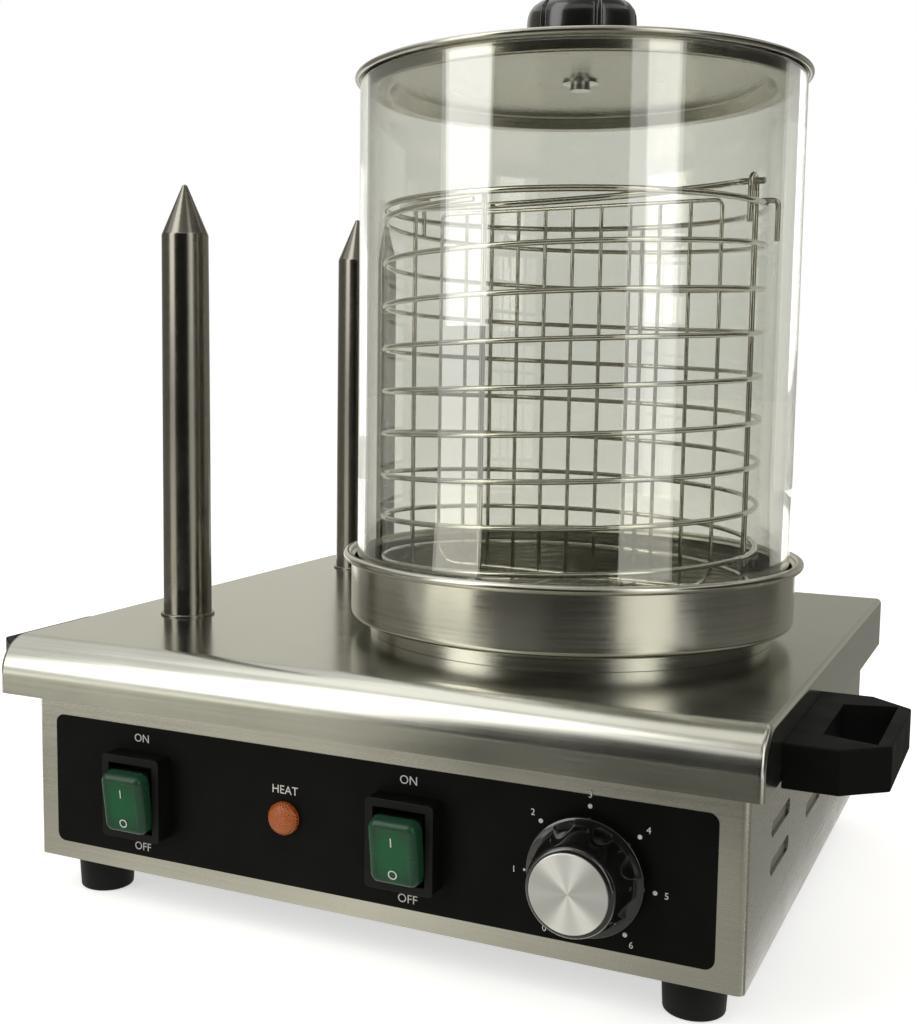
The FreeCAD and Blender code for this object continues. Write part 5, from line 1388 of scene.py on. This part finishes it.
    def build_divider(self) -> None:
        """The flat grid across the basket: a bent frame, upright wires and two legs."""
        half, low, top = self.grid_pitch * self.grid_pairs, self.divider_low, self.divider_top
        middle = (low + top) / 2
        normal = np.array(self.at(0, 1, 0)) - np.array(self.at(0, 0, 0))
        halves = []
        for side, level, bend in ((-half, low, self.divider_low_bend), (half, top, self.divider_top_bend)):
            corners = ((side, middle), (side, level), (-side, level), (-side, middle))
            halves.append(bent_line([self.at(across, 0, up) for across, up in corners], bend))
        loop = np.concatenate([halves[0], halves[1][1:-1]])
        self.string("basket_divider_frame", [loop], self.grid_wire, normal, "basket_divider", closed=True)
        paths = []
        for row in range(1 - self.grid_pairs, self.grid_pairs):
            foot = self.foot(self.grid_wire * 2) if abs(row) == self.divider_leg_row else low
            offset = row * self.grid_pitch
            paths.append(self.straight((offset, 0, foot), (offset, 0, top)))
        self.string("basket_divider_wires", paths, self.grid_wire, normal)

    def build_rim(self) -> None:
        """The rim hoop, and the short hook that hangs over its outer side."""
        hoop = [self.hoop(160, self.rim_level)]
        self.string("basket_rim_hoop", hoop, self.rim_wire, UPWARD, "basket_rim", closed=True, sides=12)
        out = heading(self.hook_angle)
        base = np.array(self.at(0, 0, self.rim_level))
        turn = np.linspace(0.5 * math.pi, 0.0, 8)[:, None]
        bend, start = self.hook_bend, self.coil_radius + self.hook_reach
        arc = base + out * (start + bend * np.cos(turn)) + UPWARD * bend * np.sin(turn)
        first = base + out * (self.coil_radius - bend) + UPWARD * bend
        last = base + out * (start + bend) - UPWARD * self.hook_drop
        hook = np.concatenate([first[None], arc, last[None]])
        self.string("basket_rim_hook", [hook], self.loop_wire, np.cross(out, UPWARD))

    def build_loops(self) -> None:
        """Two upright wires bent over above the rim: a long leg, a half circle and a short leg."""
        half = self.loop_half
        radius = math.sqrt(self.loop_ring ** 2 - half ** 2)
        spring = self.loop_top - self.loop_wire - half
        turn = np.linspace(0, math.pi, 14)[:, None]
        for side, extra in (("right", 0.0), ("left", 180.0)):
            out = heading(self.turn + extra)
            along = np.array([-out[1], out[0], 0.0])
            base = np.array(self.at(0, 0, spring)) + out * radius
            arc = base + along * half * np.cos(turn) + UPWARD * half * np.sin(turn)
            first = base + along * half - UPWARD * (spring - self.foot(self.ring_wire))
            last = base - along * half - UPWARD * self.short_leg
            loop = np.concatenate([first[None], arc, last[None]])
            self.string(f"bail_loop_{side}", [loop], self.loop_wire, out, f"basket_pivot_loop_{side}")

    def build_bail(self) -> None:
        """The bail: a half hoop in a tilted plane whose ends turn out along the pivot axis."""
        axis, tilt = heading(self.turn), math.radians(self.bail_tilt)
        down = np.array([axis[1], -axis[0], 0.0]) * math.cos(tilt) - UPWARD * math.sin(tilt)
        middle = np.array(self.at(0, 0, self.bail_level))
        radius, bend, reach = self.bail_radius, self.bail_bend, self.bail_reach
        small = np.linspace(0, math.pi / 2, 7)
        large = np.linspace(0, math.pi, 72)[1:-1]
        elbow, fall = radius + bend - bend * np.sin(small), bend - bend * np.cos(small)
        across = np.concatenate([[reach], elbow, radius * np.cos(large), -elbow[::-1], [-reach]])
        ahead = np.concatenate([[0.0], fall, bend + radius * np.sin(large), fall[::-1], [0.0]])
        path = middle + across[:, None] * axis + ahead[:, None] * down
        normal = np.cross(axis, down)
        self.string("carrying_bail", [path], self.bail_wire, normal, "basket_bail", sides=12, body="bail")


@dataclass
class BreadSpikes:
    """Two heated spikes, each an outline of radius and height turned about its own axis."""

    look: Finishes
    x: float = -131.0 * MM
    front_y: float = -61.5 * MM
    rear_y: float = 114.8 * MM
    height: float = 208.2 * MM
    root: float = 11.8 * MM
    top: float = 11.2 * MM
    tip: float = 1.2 * MM
    tip_length: float = 24.0 * MM
    flange: float = 13.2 * MM
    flange_height: float = 1.0 * MM
    spigot: float = 8.0 * MM
    spigot_length: float = 12.0 * MM
    bore: float = 5.0 * MM
    bore_top: float = 150.0 * MM

    def build(self) -> None:
        """Makes the spikes."""
        low, ledge, top = -self.spigot_length, self.flange_height, self.height
        outline = rounded_outline(
            [
                (self.bore, low, 0.3 * MM), (self.spigot, low, 0.5 * MM), (self.spigot, 0.0, 0.1 * MM),
                (self.flange, 0.0, 0.1 * MM), (self.flange, ledge, 0.5 * MM), (self.root, ledge, 0.2 * MM),
                (self.top, top - self.tip_length, 2.5 * MM), (self.tip, top - 0.6 * MM, 0.9 * MM),
                (0.0, top, 0.0), (0.0, self.bore_top, 0.0), (self.bore, self.bore_top, 0.0),
            ]
        )
        for name, y in (("front", self.front_y), ("rear", self.rear_y)):
            spike = turned(f"spike_{name}", outline, (self.x, y, COVER_TOP), 96)
            settle(spike, "cabinet", "stainless_bar", self.look.spike, f"bread_spike_{name}")


@dataclass
class Carried:
    """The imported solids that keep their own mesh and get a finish."""

    look: Finishes

    def build(self) -> None:
        """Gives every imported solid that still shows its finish."""
        look = self.look
        groups = {
            look.plate: ("base_plate", "heater_clamp_bar"),
            look.cast: ("heater_plate",),
            look.sheath: ("heater_element", "spike_heater_front", "spike_heater_rear"),
            look.cream: ("terminal_block",),
            look.brass: ("switch_left_terminals", "switch_right_terminals"),
            look.boot: ("switch_left_body", "switch_right_body", "heat_lamp_body", "cable_gland_nut"),
        }
        finish = {name: material for material, names in groups.items() for name in names}
        for name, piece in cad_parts.items():
            if not piece.hide_render:
                dress(piece, finish.get(name, look.screw))
                LOG.info("%s keeps its packed mesh", name)


# Studio


@dataclass
class Studio:
    """Pale floor, soft lamps, dim cards that mostly reflections see, and the camera."""

    camera_at: Point = (0.2578, -0.6167, 0.2456)
    yaw: float = 0.451
    pitch: float = 0.108
    roll: float = 0.010
    lens: float = 48.23
    shift: Span = (0.0507, -0.0026)
    distance: float = 1.5
    lamp_target: Point = (PAN_X, PAN_Y, 0.2)
    fill: float = 0.5
    floor_glow: float = 0.6
    near: float = 0.75
    far: float = 2.2
    card_height: float = 1.5
    card_level: float = 0.001
    floor_drop: float = 0.0002
    seen_through_glass: tuple[str, ...] = (
        "card_behind_camera", "card_left", "card_right", "floor_left", "floor_right",
    )

    def build(self) -> None:
        """Makes the studio.

        The lamps have a turn, a height angle, a width, a height and watts; the cards two turns about Z,
        an outline of radius and height, and a glow; the patches two x, two y, a level and two glows.
        """
        self.build_world()
        self.build_floor()
        for lamp in (
            ("strip_left", -126.0, 30.0, 0.66, 1.5, 7.2),
            ("strip_right", -31.0, 30.0, 0.42, 1.5, 2.9),
            ("sky", 150.0, 78.0, 1.4, 1.4, 4.5),
        ):
            self.softbox(*lamp)
        low, far = self.card_level, self.far
        wall = [(self.near, low), (far, low), (far, self.card_height)]
        for card in (
            ("card_behind_camera", (-114.0, -46.0), wall, 0.03),
            ("card_right", (-20.0, 50.0), wall, 0.05),
            ("card_left", (150.0, 219.0), wall, 0.3),
            ("card_rear", (104.0, 150.0), wall[1:], 0.74),
            ("card_rear_right", (50.0, 104.0), [(far, 0.0), (far, 0.7)], 0.45),
            ("card_rear_right_upper", (50.0, 104.0), [(far, 0.7), (far, 1.8)], 0.3),
            ("floor_left", (-141.0, -114.0), wall[:2], 1.9),
            ("floor_right", (-46.0, -20.0), wall[:2], 1.4),
        ):
            self.card(*card)
        for patch in (
            ("patch_side", (0.175, 1.6), (-0.13, 2.0), low, (0.27, 0.22)),
            ("patch_near_left", (-0.45, -0.02), (-0.36, -0.138), low, (0.15, 0.9)),
            ("patch_near_right", (-0.02, 0.13), (-0.36, -0.138), low, (0.9, 0.42)),
            ("patch_front_left", (-0.6, -0.13), (-0.72, -0.36), low, (0.45, 0.75)),
            ("patch_front_right", (-0.13, 0.5), (-0.72, -0.36), low, (0.16, 0.08)),
            ("patch_corner", (0.13, 0.5), (-0.36, -0.138), low, (0.42, 0.36)),
            ("ceiling", (-0.5, 2.2), (-2.2, 2.2), 2.4, (0.5, 0.2)),
        ):
            self.patch(*patch)
        self.build_camera()

    def build_world(self) -> None:
        """A white surround that the camera, gloss and glass see, and softer grey light from it."""
        world = bpy.data.worlds.new("surround")
        world.use_nodes = True
        tree = Tree(world.node_tree)
        seen = tree.add("Background", Color=(1, 1, 1, 1), Strength=1.0)
        given = tree.add("Background", Color=(1.0, 0.98, 0.94, 1), Strength=self.fill)
        mix = tree.add("MixShader", _0=tree.seen_ray(), _1=given.outputs[0], _2=seen.outputs[0])
        tree.add("OutputWorld", Surface=mix.outputs[0])
        bpy.context.scene.world = world

    def build_floor(self) -> None:
        """A round pale floor that shows white where no shadow falls."""
        angle = np.linspace(0, FULL_TURN, 64, endpoint=False)[None, :]
        radius = np.array([0.0, 0.5, 2.0, 9.0])[:, None]
        level = 0 * radius * angle - self.floor_drop
        points = np.stack([radius * np.cos(angle), radius * np.sin(angle), level], axis=-1)
        floor = grids_piece("studio_floor", [points], False, True)
        nodes = Nodes("studio floor")
        pale = nodes.blend(nodes.spread(nodes.noise(1.5)), (0.83, 0.83, 0.82), (0.85, 0.85, 0.84))
        nodes.surface(Base_Color=pale, Roughness=0.9)
        glow = nodes.add("Emission", Strength=nodes.maths("MULTIPLY", nodes.seen_ray(), self.floor_glow))
        both = nodes.add("AddShader", _0=nodes.shader.outputs[0], _1=glow.outputs[0])
        nodes.feed(nodes.output.inputs["Surface"], both.outputs[0])
        dress(floor, nodes.material)

    def softbox(self, name: str, azimuth: float, rise: float, width: float, tall: float, power: float) -> None:
        """A rectangular lamp that faces the steamer.

        Args:
            name: name of the lamp.
            azimuth: its turn about Z in degrees.
            rise: its height angle in degrees.
            width: width in metres.
            tall: height in metres.
            power: watts.
        """
        lamp = bpy.data.lights.new(name, "AREA")
        lamp.shape = "RECTANGLE"
        lamp.size = width
        lamp.size_y = tall
        lamp.energy = power
        lamp.color = (1.0, 0.985, 0.95)
        carrier = as_object(name, lamp)
        turn, up = math.radians(azimuth), math.radians(rise)
        way = Vector((math.cos(turn) * math.cos(up), math.sin(turn) * math.cos(up), math.sin(up)))
        carrier.location = Vector(self.lamp_target) + way * self.distance
        carrier.rotation_euler = way.to_track_quat("Z", "Y").to_euler()

    def card(self, name: str, span: Span, profile: list[Span], glow: float) -> None:
        """A card turned about the steamer's own middle, seen in reflections.

        Args:
            name: name of the card.
            span: its first and last turn about Z in degrees.
            profile: radius and height of its edges.
            glow: how bright it is.
        """
        angle = np.radians(np.linspace(*span, 16))[None, :]
        radius, height = np.array(profile).T[:, :, None]
        points = np.stack([radius * np.cos(angle), radius * np.sin(angle), height + 0 * angle], axis=-1)
        self.reflected(grids_piece(name, [points], False, False), (glow, glow), span)

    def patch(self, name: str, across: Span, ahead: Span, level: float, glow: Span) -> None:
        """A level card, seen in reflections.

        Args:
            name: name of the card.
            across: its lower and upper x.
            ahead: its lower and upper y.
            level: its height.
            glow: how bright it is at its lower and upper x.
        """
        x, y = np.meshgrid(np.linspace(*across, 4), np.linspace(*ahead, 4))
        points = np.stack([x, y, level + 0 * x], axis=-1)
        self.reflected(grids_piece(name, [points], False, False), glow, across)

    def reflected(self, card: bpy.types.Object, glow: Span, across: Span) -> None:
        """Gives a card its dim warm light; gloss sees it, and glass where it is named for that.

        Args:
            card: the card.
            glow: how bright it is at the two ends of a span of x.
            across: the span of x.
        """
        nodes = Nodes(card.name)
        nodes.surface(
            Base_Color=(0.0, 0.0, 0.0, 1.0),
            Roughness=1.0,
            Specular_IOR_Level=0.0,
            Emission_Color=nodes.blend(nodes.noise(2.0), (1.0, 0.98, 0.87), (0.92, 0.9, 0.79)),
            Emission_Strength=nodes.ramp(nodes.parts()[0], across, glow),
        )
        dress(card, nodes.material)
        card.visible_camera = card.visible_diffuse = card.visible_shadow = False
        card.visible_transmission = card.name in self.seen_through_glass

    def build_camera(self) -> None:
        """The camera at the photograph's place, turned by yaw, pitch and roll in radians."""
        camera = bpy.data.cameras.new("camera")
        camera.lens = self.lens
        camera.sensor_width = 36.0
        camera.sensor_fit = "AUTO"
        camera.shift_x, camera.shift_y = self.shift
        camera.clip_start = 0.01
        level = math.cos(self.pitch)
        ahead = Vector((-math.sin(self.yaw) * level, math.cos(self.yaw) * level, -math.sin(self.pitch)))
        right = Vector((math.cos(self.yaw), math.sin(self.yaw), 0.0))
        up = right.cross(ahead)
        tilted = math.cos(self.roll) * right + math.sin(self.roll) * up
        upright = -math.sin(self.roll) * right + math.cos(self.roll) * up
        carrier = as_object("camera", camera)
        turn = Matrix((tilted, upright, -ahead)).transposed().to_4x4()
        carrier.matrix_world = Matrix.Translation(self.camera_at) @ turn
        bpy.context.scene.camera = carrier


def main() -> None:
    """Builds the pieces in order and sets up the studio."""
    logging.basicConfig(level=logging.INFO, format="%(name)s: %(message)s")
    bpy.context.scene.view_settings.view_transform = "Standard"
    look = Finishes()
    for assembly in (Cabinet, ControlPanel, SteamingPan, GlassAndLid, WireBasket, BreadSpikes, Carried):
        LOG.info("building %s", assembly.__name__)
        assembly(look).build()
    Studio().build()


if __name__ == "__main__":
    main()
